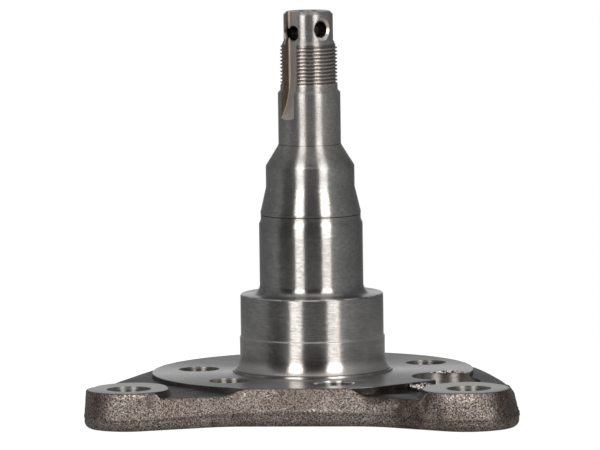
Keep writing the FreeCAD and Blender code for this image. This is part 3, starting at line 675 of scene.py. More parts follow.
def round_marks(tree, shader, x, y, z, centre, anisotropy):
    """Marks that run round a vertical axis: they turn the shader's gloss along them, and
    the value returned is a vector that changes fast along z and slowly round the axis."""
    from_x = add_node(tree, "Math", x, centre[0], operation="SUBTRACT")
    from_y = add_node(tree, "Math", y, centre[1], operation="SUBTRACT")
    radius = add_node(tree, "Math", distance_out(tree, from_x, from_y),
                      LEAST_RADIUS * MM, operation="MAXIMUM")
    round_x = add_node(tree, "Math", from_x, radius, operation="DIVIDE")
    round_y = add_node(tree, "Math", from_y, radius, operation="DIVIDE")
    tangent = add_node(tree, "CombineXYZ", overlap(tree, round_y, -1.0), round_x, 0.0)
    tree.links.new(tangent, shader.inputs["Tangent"])
    shader.inputs["Anisotropic"].default_value = anisotropy
    shader.inputs["Anisotropic Rotation"].default_value = QUARTER_TURN
    return add_node(tree, "CombineXYZ", overlap(tree, round_x, MARK_DRIFT * MM),
                    overlap(tree, round_y, MARK_DRIFT * MM),
                    add_node(tree, "Math", z, radius, operation="ADD"))


# Turned steel: fine marks run round the spindle, so light spreads along it in bands. The
# marks are a twentieth of a millimetre apart, drawn at almost half a millimetre. Above
# the inner seat it is ground finer and hazier, and the thread's roots are brown and
# painted darker, as shade in the grooves.
MARKS = 2.2
SMEARS = 0.18
SPECKS = 2.4
THREAD_FLECKS = 1.7
COLLAR_GLINT_BREAKS = 0.42
THIRD_HOLE = (8.767, -31.191, 10.5)
# Edge lines: the heights over which each comes and goes, the radii over which it stops
# outward, its share and its colour. They are painted shade in the neck between the seats,
# at the land's foot and at the ledge under the outer seat, and painted highlights on the
# collar's step and in the cove.
EDGE_SHADE_AND_HIGHLIGHTS = [
    ((54.32, 54.4), (54.52, 54.6), None, 0.9, "2b2825"),
    ((10.95, 11.05), (11.25, 11.35), (22.2, 22.3), 0.3, "2b2825"),
    ((73.95, 74.05), (74.25, 74.35), None, 0.5, "4c4542"),
    ((20.11, 20.21), (20.61, 20.71), None, 0.5, "ffffff"),
    ((11.2, 11.4), (12.5, 14.8), (22.2, 22.3), 0.8, "fff8f2")]
# White flecks on the front of the taper's upper edge: place and reach
WHITE_FLECKS = ((0.6, -12.2, 68.3), (4.0, 3.0, 0.45))
# A dark reddish stain round the third bolt hole, painted dark reflection across the front of the
# cove and lower collar, and a black patch by the lower cotter hole
TURNED_PATCHES = [                   # place, reach, softness, share and colour of each
    (THIRD_HOLE, (11.0, 9.0, 2.0), 0.5, 0.5, "42332f"),
    ((1.5, -20.0, 15.0), (5.0, 6.0, 6.5), 0.6, 0.45, "4a3c38"),
    ((-5.9, -3.2, 105.2), (1.8, 1.8, 2.9), 0.6, 0.95, "171314")]
ROUNDED_THREAD = 0.6                 # how far the thread is shaded as a plain cylinder
FACE_ROUGHNESS = 0.3
SPINDLE_ROUGHNESS = 0.24
ROUGHER = (52.0, 78.0, 0.1)          # heights over which it grows upward, and how much
FIRST_HAZE = (50.0, 58.0, 0.06)      # and over which the ground steel turns hazy
SECOND_HAZE = (69.0, 76.0, 0.12)
tree, shader, spot, x, y, z = start_material(TURNED, "turned_steel", 1.0, 0.3)
marks = round_marks(tree, shader, x, y, z, (0.0, 0.0), 0.9)
line = add_node(tree, "TexNoise", marks, MARKS / MM, 3.0, 0.7)
smear = add_node(tree, "TexNoise", spot, SMEARS / MM, 3.0, 0.6)
speck = add_node(tree, "TexNoise", spot, SPECKS / MM, 2.0, 0.6)
radius = distance_out(tree, x, y)
tone = add_node(tree, "Mix", soft_band(tree, line, (0.3, 0.7)),
                linear("b1b0ae"), linear("cccbc9"), data_type="RGBA")
tone = stain_or_painted_light(tree, tone, soft_band(tree, smear, fall=(0.35, 0.75)), 0.3, "8d8782")
tone = stain_or_painted_light(tree, tone, soft_band(tree, speck, (0.52, 0.7)), 0.3, "6e6966")
# Painted shade in the thread's roots: darker and brown toward the root radius
thread_tone = add_node(tree, "Mix", soft_band(tree, radius, (7.5, 8.0), unit=MM),
                       linear("7c7470"), linear("c6bfbb"), data_type="RGBA")
fleck = add_node(tree, "TexNoise", spot, THREAD_FLECKS / MM, 2.0, 0.5)
thread_tone = stain_or_painted_light(tree, thread_tone, soft_band(tree, fleck, (0.6, 0.7)), 0.6, "e8d8d4")
threaded = soft_band(tree, z, (90.3, 90.9), (101.8, 102.4), MM)
tone = add_node(tree, "Mix", threaded, tone, thread_tone, data_type="RGBA")
# Painted shade and painted highlights along edges of the turning
for rise, fall, outer, share, colour in EDGE_SHADE_AND_HIGHLIGHTS:
    mask = soft_band(tree, z, rise, fall, MM)
    if outer:
        mask = overlap(tree, mask, soft_band(tree, radius, fall=outer, unit=MM))
    tone = stain_or_painted_light(tree, tone, mask, share, colour)
breakup_noise = add_node(tree, "TexNoise", spot, FLAKES / MM, 2.0, 0.5)
white_flecks = overlap(tree, nearness(tree, spot, *WHITE_FLECKS), soft_band(tree, breakup_noise, (0.46, 0.54)))
tone = stain_or_painted_light(tree, tone, white_flecks, 0.9, "ffffff")
# Painted highlight on the collar's top chamfer, broken into bits
breakup_noise = add_node(tree, "TexNoise", spot, COLLAR_GLINT_BREAKS / MM, 2.0, 0.5)
collar_glint = overlap(tree, soft_band(tree, z, (31.88, 31.96), (32.2, 32.26), MM),
                     soft_band(tree, radius, (19.5, 19.7), unit=MM),
                     soft_band(tree, breakup_noise, (0.44, 0.54)))
tone = stain_or_painted_light(tree, tone, collar_glint, 0.9, "ffffff")
for centre, reach, soft, share, colour in TURNED_PATCHES:
    tone = stain_or_painted_light(tree, tone, nearness(tree, spot, centre, reach, soft), share, colour)
face = soft_band(tree, z, fall=(10.6, 11.2), unit=MM)
gloss = add_node(tree, "MapRange", face, 0.0, 1.0, SPINDLE_ROUGHNESS, FACE_ROUGHNESS, **SMOOTH)
rougher, first_haze, second_haze = [
    overlap(tree, soft_band(tree, z, (start, end), unit=MM), most)
    for start, end, most in (ROUGHER, FIRST_HAZE, SECOND_HAZE)]
tree.links.new(add_node(tree, "Math", gloss, rougher, operation="ADD"),
               shader.inputs["Roughness"])
haze = add_node(tree, "Math", first_haze, second_haze, operation="ADD")
tree.links.new(add_node(tree, "Math", 1.0, haze, operation="SUBTRACT"),
               shader.inputs["Metallic"])
# The thread's flanks are burnished round, so they shine more like the plain cylinder
true_normal = add_node(tree, "NewGeometry").node.outputs["Normal"]
outward = add_node(tree, "VectorMath", add_node(tree, "CombineXYZ", x, y, 0.0),
                   operation="NORMALIZE")
rounded = add_node(tree, "Mix", overlap(tree, threaded, ROUNDED_THREAD), true_normal, outward,
                   data_type="VECTOR")
rounded = add_node(tree, "VectorMath", rounded, operation="NORMALIZE")
bump = finish_material(tree, shader, tone, line, 0.012)
tree.links.new(rounded, bump.node.inputs["Normal"])

# Lug bosses. Each lug carries a round boss, milled flat level with the disc. Outward it
# is one with the forged wall; toward the web it stands free, with a flared foot.

BOSS_DRAFT = math.tan(math.radians(9.0))
BOSS_FLARE = 1.6
BOSS_BURIED = 6.0
BOSS_SINK = 0.05                     # the flare starts this far under the web's floor
BOSS_EDGE = 0.1                      # the pad's edge is broken this much
BOSS_INSIDE = (0.1, 0.32, 0.55)      # its foot, edge and face stay this far in the wall
BOSS_FACING = 0.35                   # cosine within which the flare fades from the web
BOSS_SIDES = 180
WALL_SEARCH = 21.0                   # the forged wall is looked for this near the hole
WALL_GAP = 0.1                       # radians: further from its points there is none
FAR_OFF = 99.0
boss_angle = np.arange(BOSS_SIDES) * 2.0 * math.pi / BOSS_SIDES - math.pi


def forged_reach(height, sign):
    """How far the forged wall is from a lug's hole at a height, at each boss angle; far
    off where there is none."""
    wall = outline - outline_normal * ((height - parting) * wall_slope)[:, None]
    from_lug = wall - [sign * LUG_CENTRE[0], LUG_CENTRE[1]]
    reach = np.linalg.norm(from_lug, axis=1)
    bearing = np.arctan2(from_lug[:, 1], from_lug[:, 0])
    near = reach < WALL_SEARCH
    order = np.argsort(bearing[near])
    reach, bearing = reach[near][order], bearing[near][order]
    gaps = np.abs((boss_angle[:, None] - bearing[None, :] + math.pi) % (2.0 * math.pi) - math.pi)
    found = np.interp(boss_angle, bearing, reach, period=2.0 * math.pi)
    return np.where(gaps.min(axis=1) < WALL_GAP, found, FAR_OFF)


def boss_rings(sign):
    """Rings of a boss: the pad's reach, plus the draft below it and a quarter circle at
    its foot where it faces the web, and nowhere outside the forged wall."""
    centre = np.array([sign * LUG_CENTRE[0], LUG_CENTRE[1]])
    inward = math.atan2(-centre[1], -centre[0])
    facing = smooth_step(np.cos(boss_angle - inward), -BOSS_FACING, BOSS_FACING)
    pad = pad_reach(boss_angle, sign)
    foot = WEB_HEIGHT - BOSS_SINK + (LEFT_FULLER if sign < 0 else 0.0)
    # Flare, height and margin inside the forged wall of each ring
    foot_in, edge_in, face_in = BOSS_INSIDE
    profile = [(BOSS_FLARE, BOSS_BURIED, foot_in)]
    profile += [(BOSS_FLARE * (1.0 - math.sin(turn)),
                 foot + BOSS_FLARE * (1.0 - math.cos(turn)), foot_in)
                for turn in np.linspace(0.0, math.pi / 2.0, 8)]
    profile += [(0.0, FACE_HEIGHT - BOSS_EDGE, edge_in), (-BOSS_EDGE, FACE_HEIGHT, face_in)]
    made = []
    for flare, height, margin in profile:
        reach = pad + (FACE_HEIGHT - height) * BOSS_DRAFT + flare * facing
        reach = np.minimum(reach, forged_reach(height, sign) - margin)
        made.append(np.stack([
            centre[0] + reach * np.cos(boss_angle),
            centre[1] + reach * np.sin(boss_angle),
            height + 0.0 * boss_angle], axis=1))
    return made, centre


bosses = []
for sign in (-1, 1):
    rings, centre = boss_rings(sign)
    # The boss's flank takes the web floor's finish, darker partly as painted shade
    bosses.append(closed_grid(
        rings, (*centre, BOSS_BURIED), (*centre, FACE_HEIGHT), "boss",
        WEB_FLOOR, WEB_FLOOR, MILLED))

# Milled lug faces, a little brighter than the bores, with the cutter's fine swirl
SWIRLS = 1.6
tree, shader, spot, x, y, z = start_material(MILLED, "milled_face", 1.0, 0.42)
swirl = add_node(tree, "TexNoise", spot, SWIRLS / MM, 2.0, 0.5)
tone = add_node(tree, "Mix", swirl, linear("c4c1be"), linear("dcdad7"), data_type="RGBA")
# Painted light: the faces are laid lighter toward the lugs' outer ends
aside = add_node(tree, "Math", x, operation="ABSOLUTE")
tone = stain_or_painted_light(tree, tone, soft_band(tree, aside, (20.0, 40.0), unit=MM), 0.6, "fbfaf9")
finish_material(tree, shader, tone, swirl, 0.01)

# Torn metal. The cutters left burrs where they ran out: a crooked roll of steel beside
# the right lug, crumbs behind the sensor hole and three nicks on the disc's rim.

TORN_SPACING = 0.25                  # between the rings of a roll
TORN_TURNS = 12                      # points round a roll
TORN_EVENING = 12                    # passes that even a roll's path
TORN_LUMPS = (0.35, 1.3)             # least and most reach, as a share of its thickness
TORN_END = 0.06                      # radians that its ends keep from a point
TORN_ROLLS = [                       # thickness, seed and path of each
    (1.0, 12, [[28.6, -29.4, 9.8], [30.0, -31.0, 9.5], [31.6, -32.0, 9.3], [33.2, -31.4, 9.6],
               [34.6, -29.6, 9.6], [36.4, -27.6, 9.3]]),
    (0.42, 3, [[33.6, -7.0, 10.4], [36.0, -5.5, 10.45], [38.6, -5.1, 10.45],
               [41.2, -5.5, 10.45], [43.8, -7.1, 10.4]]),
    (0.3, 5, [[-43.4, 10.0, 10.3], [-43.1, 11.2, 10.35]]),
    (0.32, 6, [[-40.5, 18.2, 10.3], [-39.9, 19.4, 10.35]]),
    (0.3, 8, [[-34.0, 28.7, 10.3], [-33.1, 29.8, 10.35]])]


def torn_roll(thickness, seed, path):
    """A closed roll of metal along a path: rings square to it, each point's reach a seeded
    share of the thickness, evened with its neighbours and thinning to both ends."""
    path = np.array(path)
    legs = np.linalg.norm(np.diff(path, axis=0), axis=1)
    along = np.concatenate([[0.0], np.cumsum(legs)])
    count = max(8, int(along[-1] / TORN_SPACING))
    spots = np.linspace(0.0, along[-1], count)
    line = np.stack([np.interp(spots, along, path[:, k]) for k in range(3)], axis=1)
    for _ in range(TORN_EVENING):
        line[1:-1] = (line[:-2] + 2.0 * line[1:-1] + line[2:]) / 4.0
    way = np.gradient(line, axis=0)
    way /= np.linalg.norm(way, axis=1)[:, None]
    side = np.cross([0.0, 0.0, 1.0], way)
    side /= np.linalg.norm(side, axis=1)[:, None]
    up = np.cross(way, side)
    angle = np.arange(TORN_TURNS) * 2.0 * math.pi / TORN_TURNS
    lumps = np.random.default_rng(seed).uniform(*TORN_LUMPS, (count, TORN_TURNS))
    lumps = (lumps + np.roll(lumps, 1, axis=1) + np.roll(lumps, 1, axis=0)) / 3.0
    ends = np.sqrt(np.sin(np.linspace(TORN_END, math.pi - TORN_END, count)))
    reach = thickness * lumps * ends[:, None]
    rings = (line[:, None, :] + (reach * np.cos(angle))[:, :, None] * side[:, None, :]
             + (reach * np.sin(angle))[:, :, None] * up[:, None, :])
    return closed_grid(rings, line[0], line[-1], "torn", TORN, TORN, TORN)


torn_rolls = [torn_roll(*roll) for roll in TORN_ROLLS]

# Torn burr: bright fresh steel with dark hollows, broken every millimetre or so
BREAKS = 0.9
tree, shader, spot, x, y, z = start_material(TORN, "torn_edge", 1.0, 0.35)
broken = add_node(tree, "TexNoise", spot, BREAKS / MM, 3.0, 0.7)
tone = add_node(tree, "Mix", soft_band(tree, broken, (0.4, 0.56)),
                linear("4a3c38"), linear("fff8f4"), data_type="RGBA")
finish_material(tree, shader, tone, broken, 0.5)

# Holes, keyway and cotter holes. The lug, bolt and sensor holes go through the plate;
# the keyway was milled by a side-and-face cutter whose rim leaves the curved run-out.
# Two cotter holes cross the spindle's end at right angles, one under the other.

HOLE_NAMES = ("left_lug_hole", "right_lug_hole", "first_bolt_hole", "second_bolt_hole",
              "third_bolt_hole", "fourth_bolt_hole", "sensor_hole")
HOLE_EDGE = {"lug": 0.9, "bolt": 0.5, "sensor": 0.25}     # how wide each mouth is broken
CUTTER_LEVELS = (-1.0, 2.5, 6.0)     # heights of a hole cutter's first rings
PAST_FACE = 0.6                      # it widens on past the face this far
HOLE_SIDES = 96
COTTER_SIDES = 64
KEYWAY_BEARING = math.radians(229.3)
KEYWAY_WIDTH = 5.0
KEYWAY_FLOOR = 5.0
KEYWAY_LENGTH = 18.0
KEY_CUTTER_RADIUS = 21.2
KEY_ARC = (180.0, 112.0, 24)         # its run-out, from and to in degrees, and its points
KEY_OUTSIDE = 16.0                   # its shape reaches this far from the axis
KEY_MIDDLE_OUT = 11.0                # the middle of its shape, from the axis
KEY_MIDDLE_DOWN = 6.0                # and under the tip
COTTER_BEARING = math.radians(311.2)
COTTER_RADIUS = 2.1
COTTER_MOUTH = 3.1
COUNTERSINK_DEPTH = 1.1
PAST_MOUTH = (1.5, 1.6)              # its cutter goes on this much wider and further out
COTTERS = ((4.9, 0.0), (6.0, -math.pi / 2.0))    # depth under the tip, and turn, of each
PAST_TIP = 3.0                       # the keyway's cutter reaches this far past it


def revolved_cutter(profile, name, count, material_number):
    """A closed solid about the z axis from its profile of (r, z), bottom to top."""
    angle = np.arange(count) * 2.0 * math.pi / count
    made = [np.stack([r * np.cos(angle), r * np.sin(angle), z + 0.0 * angle], axis=1)
            for r, z in profile]
    bottom, top = profile[0][1], profile[-1][1]
    return closed_grid(made, (0.0, 0.0, bottom), (0.0, 0.0, top), name,
                       material_number, material_number, material_number)


def move_points(blank, turn, shift):
    """Turns a blank's points by a matrix of three rows, then moves them by a shift."""
    flat = np.empty(len(blank.data.vertices) * 3)
    blank.data.vertices.foreach_get("co", flat)
    points = flat.reshape(-1, 3) @ np.asarray(turn).T + np.asarray(shift)
    blank.data.vertices.foreach_set("co", points.ravel())


plate_cutters = []
mount_by_name = {mount["name"]: mount for mount in frame["record"]["mounts"]}
hole_centres = []
for number, name in enumerate(HOLE_NAMES, BORE):
    mount = mount_by_name[name]
    hole_centres.append(tuple(mount["pos_m"][:2]))
    radius = mount["dims"]["r_mm"]
    x, y = np.array(mount["pos_m"][:2]) / MM
    size = HOLE_EDGE[name.split("_")[-2]]
    profile = [(radius, z) for z in CUTTER_LEVELS]
    profile += [(radius, FACE_HEIGHT - size), (radius + size, FACE_HEIGHT),
                (radius + size + PAST_FACE, FACE_HEIGHT + PAST_FACE)]
    cutter = revolved_cutter(profile, name, HOLE_SIDES, number)
    move_points(cutter, np.eye(3), (x, y, 0.0))
    plate_cutters.append(cutter)

# The keyway's cutter, seen from the side: the floor, its curved end and the way out
floor_end = OVERALL_HEIGHT - KEYWAY_LENGTH
arc = np.radians(np.linspace(*KEY_ARC))
key_side = [(KEYWAY_FLOOR, OVERALL_HEIGHT + PAST_TIP),
            (KEYWAY_FLOOR, OVERALL_HEIGHT - KEY_MIDDLE_DOWN)]
key_side += [(KEYWAY_FLOOR + KEY_CUTTER_RADIUS * (1.0 + math.cos(a)),
              floor_end - KEY_CUTTER_RADIUS * math.sin(a)) for a in arc]
key_side += [(KEY_OUTSIDE, OVERALL_HEIGHT + PAST_TIP)]
key_side = np.array(key_side)
slices = [np.stack([key_side[:, 0], 0.0 * key_side[:, 0] + across, key_side[:, 1]], axis=1)
          for across in (KEYWAY_WIDTH / 2.0, -KEYWAY_WIDTH / 2.0)]
middle = np.array([KEY_MIDDLE_OUT, 0.0, OVERALL_HEIGHT - KEY_MIDDLE_DOWN])
keyway_cutter = closed_grid(
    slices, middle + [0.0, KEYWAY_WIDTH / 2.0, 0.0], middle - [0.0, KEYWAY_WIDTH / 2.0, 0.0],
    "keyway", KEY_FLOOR, KEY_WALL, KEY_WALL)
cosine, sine = math.cos(KEYWAY_BEARING), math.sin(KEYWAY_BEARING)
move_points(keyway_cutter, [[cosine, -sine, 0.0], [sine, cosine, 0.0], [0.0, 0.0, 1.0]],
            (0.0, 0.0, 0.0))
spindle_cutters = [keyway_cutter]

# Each cotter hole: a bore with a countersink at both ends
for depth, extra in COTTERS:
    half = [(COTTER_RADIUS, 1.0), (COTTER_RADIUS, TIP_RADIUS - COUNTERSINK_DEPTH),
            (COTTER_MOUTH, TIP_RADIUS - 0.05),
            (COTTER_MOUTH + PAST_MOUTH[0], TIP_RADIUS + PAST_MOUTH[1])]
    profile = [(r, -s) for r, s in half[::-1]] + half
    cotter = revolved_cutter(profile, "cotter", COTTER_SIDES, BORE + len(HOLE_NAMES))
    bearing = COTTER_BEARING + extra
    cosine, sine = math.cos(bearing), math.sin(bearing)
    move_points(cotter, [[-sine, 0.0, cosine], [cosine, 0.0, sine], [0.0, 1.0, 0.0]],
                (0.0, 0.0, OVERALL_HEIGHT - depth))
    spindle_cutters.append(cotter)

# Drilled bores: rings from the drill round each hole's own axis, drawn two thirds of a
# millimetre apart so that they show, and a painted highlight, broken up, round the mouth
# of the third bolt hole.
RINGS = 1.5
MOUTH_GLINT_BREAKS = 0.5
for number, (name, centre) in enumerate(zip(HOLE_NAMES, hole_centres), BORE):
    tree, shader, spot, x, y, z = start_material(number, name, 1.0, 0.45)
    marks = round_marks(tree, shader, x, y, z, centre, 0.95)
    line = add_node(tree, "TexNoise", marks, RINGS / MM, 2.0, 0.5)
    tone = add_node(tree, "Mix", line, linear("858079"), linear("cecac5"), data_type="RGBA")
    if name == "third_bolt_hole":
        # Painted highlight round the mouth, broken up
        mouth_breakup = add_node(tree, "TexNoise", spot, MOUTH_GLINT_BREAKS / MM, 2.0, 0.5)
        mouth_glint = overlap(tree, soft_band(tree, z, (9.95, 10.05), unit=MM),
                        soft_band(tree, mouth_breakup, (0.42, 0.52)))
        tone = stain_or_painted_light(tree, tone, mouth_glint, 1.0, "ffffff")
    finish_material(tree, shader, tone, line, 0.03)

# Cotter holes: painted dark inside, as shade in the bore, with light countersinks and a
# black patch about the lower one
BLACK_PATCH = (-4.9, -4.1, 105.2)         # the black patch's middle, and its reach and softness
BLACK_PATCH_REACH = (3.0, 3.0, 3.6)
BLACK_PATCH_SOFTNESS = 0.3
tree, shader, spot, x, y, z = start_material(
    BORE + len(HOLE_NAMES), "cotter_hole", 1.0, 0.35)
mottle = add_node(tree, "TexNoise", spot, RINGS / MM, 2.0, 0.5)
# Painted shade: the bore is laid dark inside
tone = add_node(tree, "Mix", mottle, linear("3f3936"), linear("6b645f"), data_type="RGBA")
countersink = soft_band(tree, distance_out(tree, x, y), (6.0, 6.2), unit=MM)
tone = stain_or_painted_light(tree, tone, countersink, 0.95, "fff8f2")
black_patch = nearness(tree, spot, BLACK_PATCH, BLACK_PATCH_REACH, BLACK_PATCH_SOFTNESS)
tone = stain_or_painted_light(tree, tone, black_patch, 0.95, "141112")
tree.links.new(tone, shader.inputs["Base Color"])


def reach_toward(tree, x, y, bearing):
    """How far a place lies toward a bearing b: x cos b + y sin b."""
    return add_node(tree, "Math", overlap(tree, x, math.cos(bearing)),
                    overlap(tree, y, math.sin(bearing)), operation="ADD")


# Keyway floor, milled along the spindle, with a burr in its left corner painted as a bright
# highlight
KEY_BLACK_PATCH_REACH = (2.6, 2.6, 3.0)         # the black patch reaches less far in the keyway
tree, shader, spot, x, y, z = start_material(KEY_FLOOR, "keyway_floor", 0.62, 0.42)
across = reach_toward(tree, x, y, KEYWAY_BEARING + math.pi / 2.0)
streaks = add_node(tree, "CombineXYZ", across, 0.0, overlap(tree, z, 0.08))
streaks = add_node(tree, "TexNoise", streaks, SPECKS / MM, 3.0, 0.5)
tone = add_node(tree, "Mix", streaks, linear("b4ada7"), linear("e4dfda"), data_type="RGBA")
burr_glint = soft_band(tree, across, fall=(-2.35, -2.1), unit=MM)
tone = stain_or_painted_light(tree, tone, burr_glint, 1.0, "fff6ea")
black_patch = nearness(tree, spot, BLACK_PATCH, KEY_BLACK_PATCH_REACH, BLACK_PATCH_SOFTNESS)
tone = stain_or_painted_light(tree, tone, black_patch, 0.93, "141112")
finish_material(tree, shader, tone, streaks, 0.03)

# Keyway walls, stained brown, with a painted highlight along the floor's corner, where the burr
# is
RUST = 0.6
tree, shader, spot, x, y, z = start_material(KEY_WALL, "keyway_wall", 0.8, 0.5)
rust = add_node(tree, "TexNoise", spot, RUST / MM, 3.0, 0.6)
tone = add_node(tree, "Mix", rust, linear("544a40"), linear("988a78"), data_type="RGBA")
# Painted highlight on the burr along the floor's corner
corner = soft_band(tree, reach_toward(tree, x, y, KEYWAY_BEARING), fall=(5.25, 5.45), unit=MM)
tone = stain_or_painted_light(tree, tone, corner, 0.8, "fff4e6")
black_patch = nearness(tree, spot, BLACK_PATCH, KEY_BLACK_PATCH_REACH, BLACK_PATCH_SOFTNESS)
tone = stain_or_painted_light(tree, tone, black_patch, 0.93, "141112")
finish_material(tree, shader, tone, rust, 0.05)

# Joining. The real part is one forging with no joints, so the bosses, the turned metal
# and the torn rolls are added to the plate and the holes are cut from it, as one closed
# mesh that stands for the CAD solid.

SHARPEST_SMOOTH = math.radians(32.0)     # a sharper bend between faces shows as an edge
NO_LENGTH = 1e-5                     # an edge shorter than this is closed up


def combine(target, tools, operation):
    """Adds tool solids that are clear of each other to the target, or takes them away,
    and removes them. A face that the step leaves out is filled in."""
    together = bmesh.new()
    for tool in tools:
        together.from_mesh(tool.data)
    together.to_mesh(tools[0].data)
    together.free()
    step = target.modifiers.new("step", "BOOLEAN")
    step.operation = operation
    step.solver = "EXACT"
    step.object = tools[0]
    evaluated = target.evaluated_get(bpy.context.evaluated_depsgraph_get())
    result = bpy.data.meshes.new_from_object(evaluated)
    target.modifiers.clear()
    target.data = result
    for tool in tools:
        bpy.data.objects.remove(tool)
    closing = bmesh.new()
    closing.from_mesh(result)
    bmesh.ops.dissolve_degenerate(closing, dist=NO_LENGTH, edges=closing.edges)
    gaps = [edge for edge in closing.edges if edge.is_boundary]
    bmesh.ops.holes_fill(closing, edges=gaps)
    closing.to_mesh(result)
    closing.free()


for blank in [forging, turning, *torn_rolls, *bosses, *plate_cutters, *spindle_cutters]:
    for number in sorted(materials):
        blank.data.materials.append(materials[number])
bpy.context.view_layer.update()
for cutter in spindle_cutters:
    combine(turning, [cutter], "DIFFERENCE")
stub = forging
combine(stub, bosses, "UNION")
combine(stub, [turning], "UNION")
combine(stub, plate_cutters, "DIFFERENCE")
combine(stub, torn_rolls, "UNION")
flat = np.empty(len(stub.data.vertices) * 3)
stub.data.vertices.foreach_get("co", flat)
stub.data.vertices.foreach_set("co", flat * MM)
stub.name = "forged_stub_axle"
stub.data.name = "forged_stub_axle"
stub.data.polygons.foreach_set("use_smooth", np.ones(len(stub.data.polygons), bool))
stub.data.set_sharp_from_angle(angle=SHARPEST_SMOOTH)
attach(stub, "root")
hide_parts("stub_axle")

# Floor, light and background. Two tall strip lights stand left and right of the camera
# in a grey room, and the metal shows them as bright bands between darker ones.

WHITE = (1.0, 1.0, 1.0, 1.0)
CAMERA_BEARING = math.atan2(EYE[0], -EYE[1])     # from the front, towards the right
FLOOR_RADIUS = 0.17
FLOOR_SIDES = 128
FLOOR_GREY = (0.5, 0.5, 0.5, 1.0)
FLOOR_IN_METAL = 0.12                # how bright the metal sees the floor
FLOOR_SEEN = 0.86                    # how bright the camera sees it, so that it is white


def ray_kinds(tree):
    """Whether a ray comes straight from the camera, and whether off metal or through
    glass."""
    path = add_node(tree, "LightPath").node.outputs
    mirrored = add_node(tree, "Math", path["Is Glossy Ray"], path["Is Transmission Ray"],
                        operation="MAXIMUM")
    return path["Is Camera Ray"], mirrored


floor_angle = np.arange(FLOOR_SIDES) * 2.0 * math.pi / FLOOR_SIDES
floor_points = np.stack([FLOOR_RADIUS * np.cos(floor_angle), FLOOR_RADIUS * np.sin(floor_angle),
                         0.0 * floor_angle], axis=1)
floor_mesh = bpy.data.meshes.new("floor")
floor_mesh.from_pydata(floor_points.tolist(), [], [tuple(range(FLOOR_SIDES))])
floor = bpy.data.objects.new("floor", floor_mesh)
bpy.context.scene.collection.objects.link(floor)
floor_material = bpy.data.materials.new("floor")
floor_material.use_nodes = True
floor_mesh.materials.append(floor_material)
tree = floor_material.node_tree
tree.nodes.clear()
direct, mirrored = ray_kinds(tree)
seen = add_node(tree, "Math", direct, mirrored, operation="MAXIMUM")
strength = add_node(tree, "Math", overlap(tree, seen, FLOOR_IN_METAL),
                    overlap(tree, direct, FLOOR_SEEN), operation="MAXIMUM")
matt = add_node(tree, "BsdfDiffuse", Color=FLOOR_GREY)
glow = add_node(tree, "Emission", Color=WHITE, Strength=strength)
add_node(tree, "OutputMaterial", Surface=add_node(tree, "AddShader", matt, glow))

STRIP_DISTANCE = 1.6                 # metres, as are the next three
STRIP_LENGTH = 1.7
STRIP_APART = 0.8                    # a strip leans about a point this far below its middle
STRIP_AIM = 0.04                     # height of the point that the strips face
STRIP_ELEVATION = math.radians(22.0)
STRIP_LEAN = math.radians(5.0)       # the strips lean apart at the top
STRIP_POWER = 11.0
STRIP_COLOUR = (1.0, 0.965, 0.935)
STRIPS = [                           # name, edges in degrees from the camera, and lean
    ("left strip", -34.9, -15.5, -STRIP_LEAN), ("right strip", 23.5, 44.5, STRIP_LEAN)]
for name, low, high, lean in STRIPS:
    bearing = CAMERA_BEARING + math.radians((low + high) / 2.0)
    spread = math.radians(high - low)
    lamp_data = bpy.data.lights.new(name, "AREA")
    lamp_data.shape = "RECTANGLE"
    lamp_data.size = 2.0 * STRIP_DISTANCE * math.tan(spread / 2.0)
    lamp_data.size_y = STRIP_LENGTH
    lamp_data.energy = STRIP_POWER
    lamp_data.color = STRIP_COLOUR
    lamp = bpy.data.objects.new(name, lamp_data)
    out = np.array([math.cos(STRIP_ELEVATION) * math.sin(bearing),
                    -math.cos(STRIP_ELEVATION) * math.cos(bearing),
                    math.sin(STRIP_ELEVATION)])
    side = np.cross([0.0, 0.0, 1.0], out)
    side /= np.linalg.norm(side)
    upward = np.cross(out, side)
    at = STRIP_DISTANCE * out + side * math.sin(lean) * STRIP_APART
    turn = np.eye(4)
    turn[:3, 0] = math.cos(lean) * side - math.sin(lean) * upward
    turn[:3, 1] = math.cos(lean) * upward + math.sin(lean) * side
    turn[:3, 2] = out
    turn[:3, 3] = at + [0.0, 0.0, STRIP_AIM]
    lamp.matrix_world = Matrix(turn.tolist())
    lamp.visible_camera = False
    bpy.context.scene.collection.objects.link(lamp)

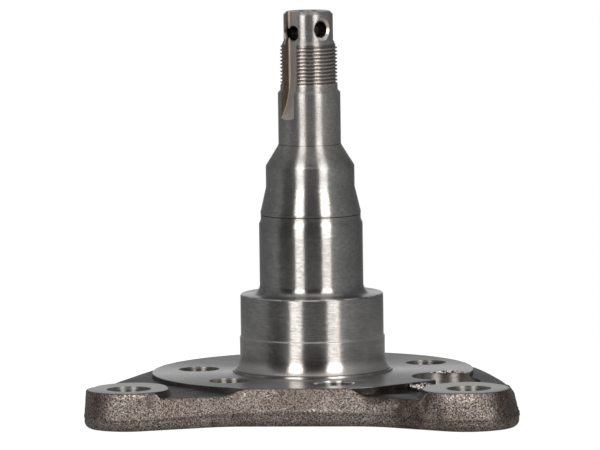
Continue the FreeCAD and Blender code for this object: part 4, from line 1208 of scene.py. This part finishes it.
ROOM = [                             # degrees from the camera, and the room's shade there
    (-180, 0.3), (-170, 0.2), (-150, 0.15), (-132, 0.16), (-115, 0.17), (-100, 0.19),
    (-88, 0.22), (-80, 0.2), (-71, 0.07), (-60, 0.05), (-40, 0.05), (0, 0.05), (46, 0.05),
    (47.5, 0.4), (57, 0.35), (66, 0.28), (76, 0.22), (98, 0.17), (127, 0.12), (150, 0.12),
    (170, 0.2), (180, 0.3)]
ROOM_TINT = np.array([0.97, 1.0, 1.02])
CEILING = (0.5, 0.49, 0.48, 1.0)
CEILING_EDGE = (0.77, 0.95)          # sines of the elevations where the ceiling begins
BEHIND_EDGE = (math.radians(164.0), math.radians(172.0))
BEHIND_SHARE = 0.42                  # how much of the white backdrop the metal sees
world = bpy.data.worlds.new("world")
bpy.context.scene.world = world
world.use_nodes = True
tree = world.node_tree
tree.nodes.clear()
toward = add_node(tree, "TexCoord").node.outputs["Generated"]
toward_x, toward_y, toward_z = add_node(tree, "SeparateXYZ", toward).node.outputs
bearing = add_node(tree, "Math", reach_toward(tree, toward_x, toward_y, CAMERA_BEARING),
                   reach_toward(tree, toward_x, toward_y, CAMERA_BEARING - math.pi / 2.0),
                   operation="ARCTAN2")
share = add_node(tree, "Math", bearing, 2.0 * math.pi, operation="DIVIDE")
tones = add_node(tree, "ValToRGB", add_node(tree, "Math", share, 0.5, operation="ADD"))
elements = tones.node.color_ramp.elements
while len(elements) > 1:
    elements.remove(elements[0])
for k, (degrees, shade) in enumerate(ROOM):
    position = degrees / 360.0 + 0.5
    element = elements[0] if k == 0 else elements.new(position)
    element.position = position
    element.color = (*(shade * ROOM_TINT), 1.0)
shade = add_node(tree, "Mix", soft_band(tree, toward_z, CEILING_EDGE), tones, CEILING,
                 data_type="RGBA")
room = add_node(tree, "Background", Color=shade, Strength=1.0)
white = add_node(tree, "Background", Color=WHITE, Strength=1.0)
direct, mirrored = ray_kinds(tree)
behind = soft_band(tree, add_node(tree, "Math", bearing, operation="ABSOLUTE"), BEHIND_EDGE)
backdrop = overlap(tree, behind, soft_band(tree, toward_z, (-0.02, 0.02), (0.2, 0.35)),
                   BEHIND_SHARE, mirrored)
shown = add_node(tree, "Math", direct, backdrop, operation="MAXIMUM")
add_node(tree, "OutputWorld", Surface=add_node(tree, "MixShader", shown, room, white))
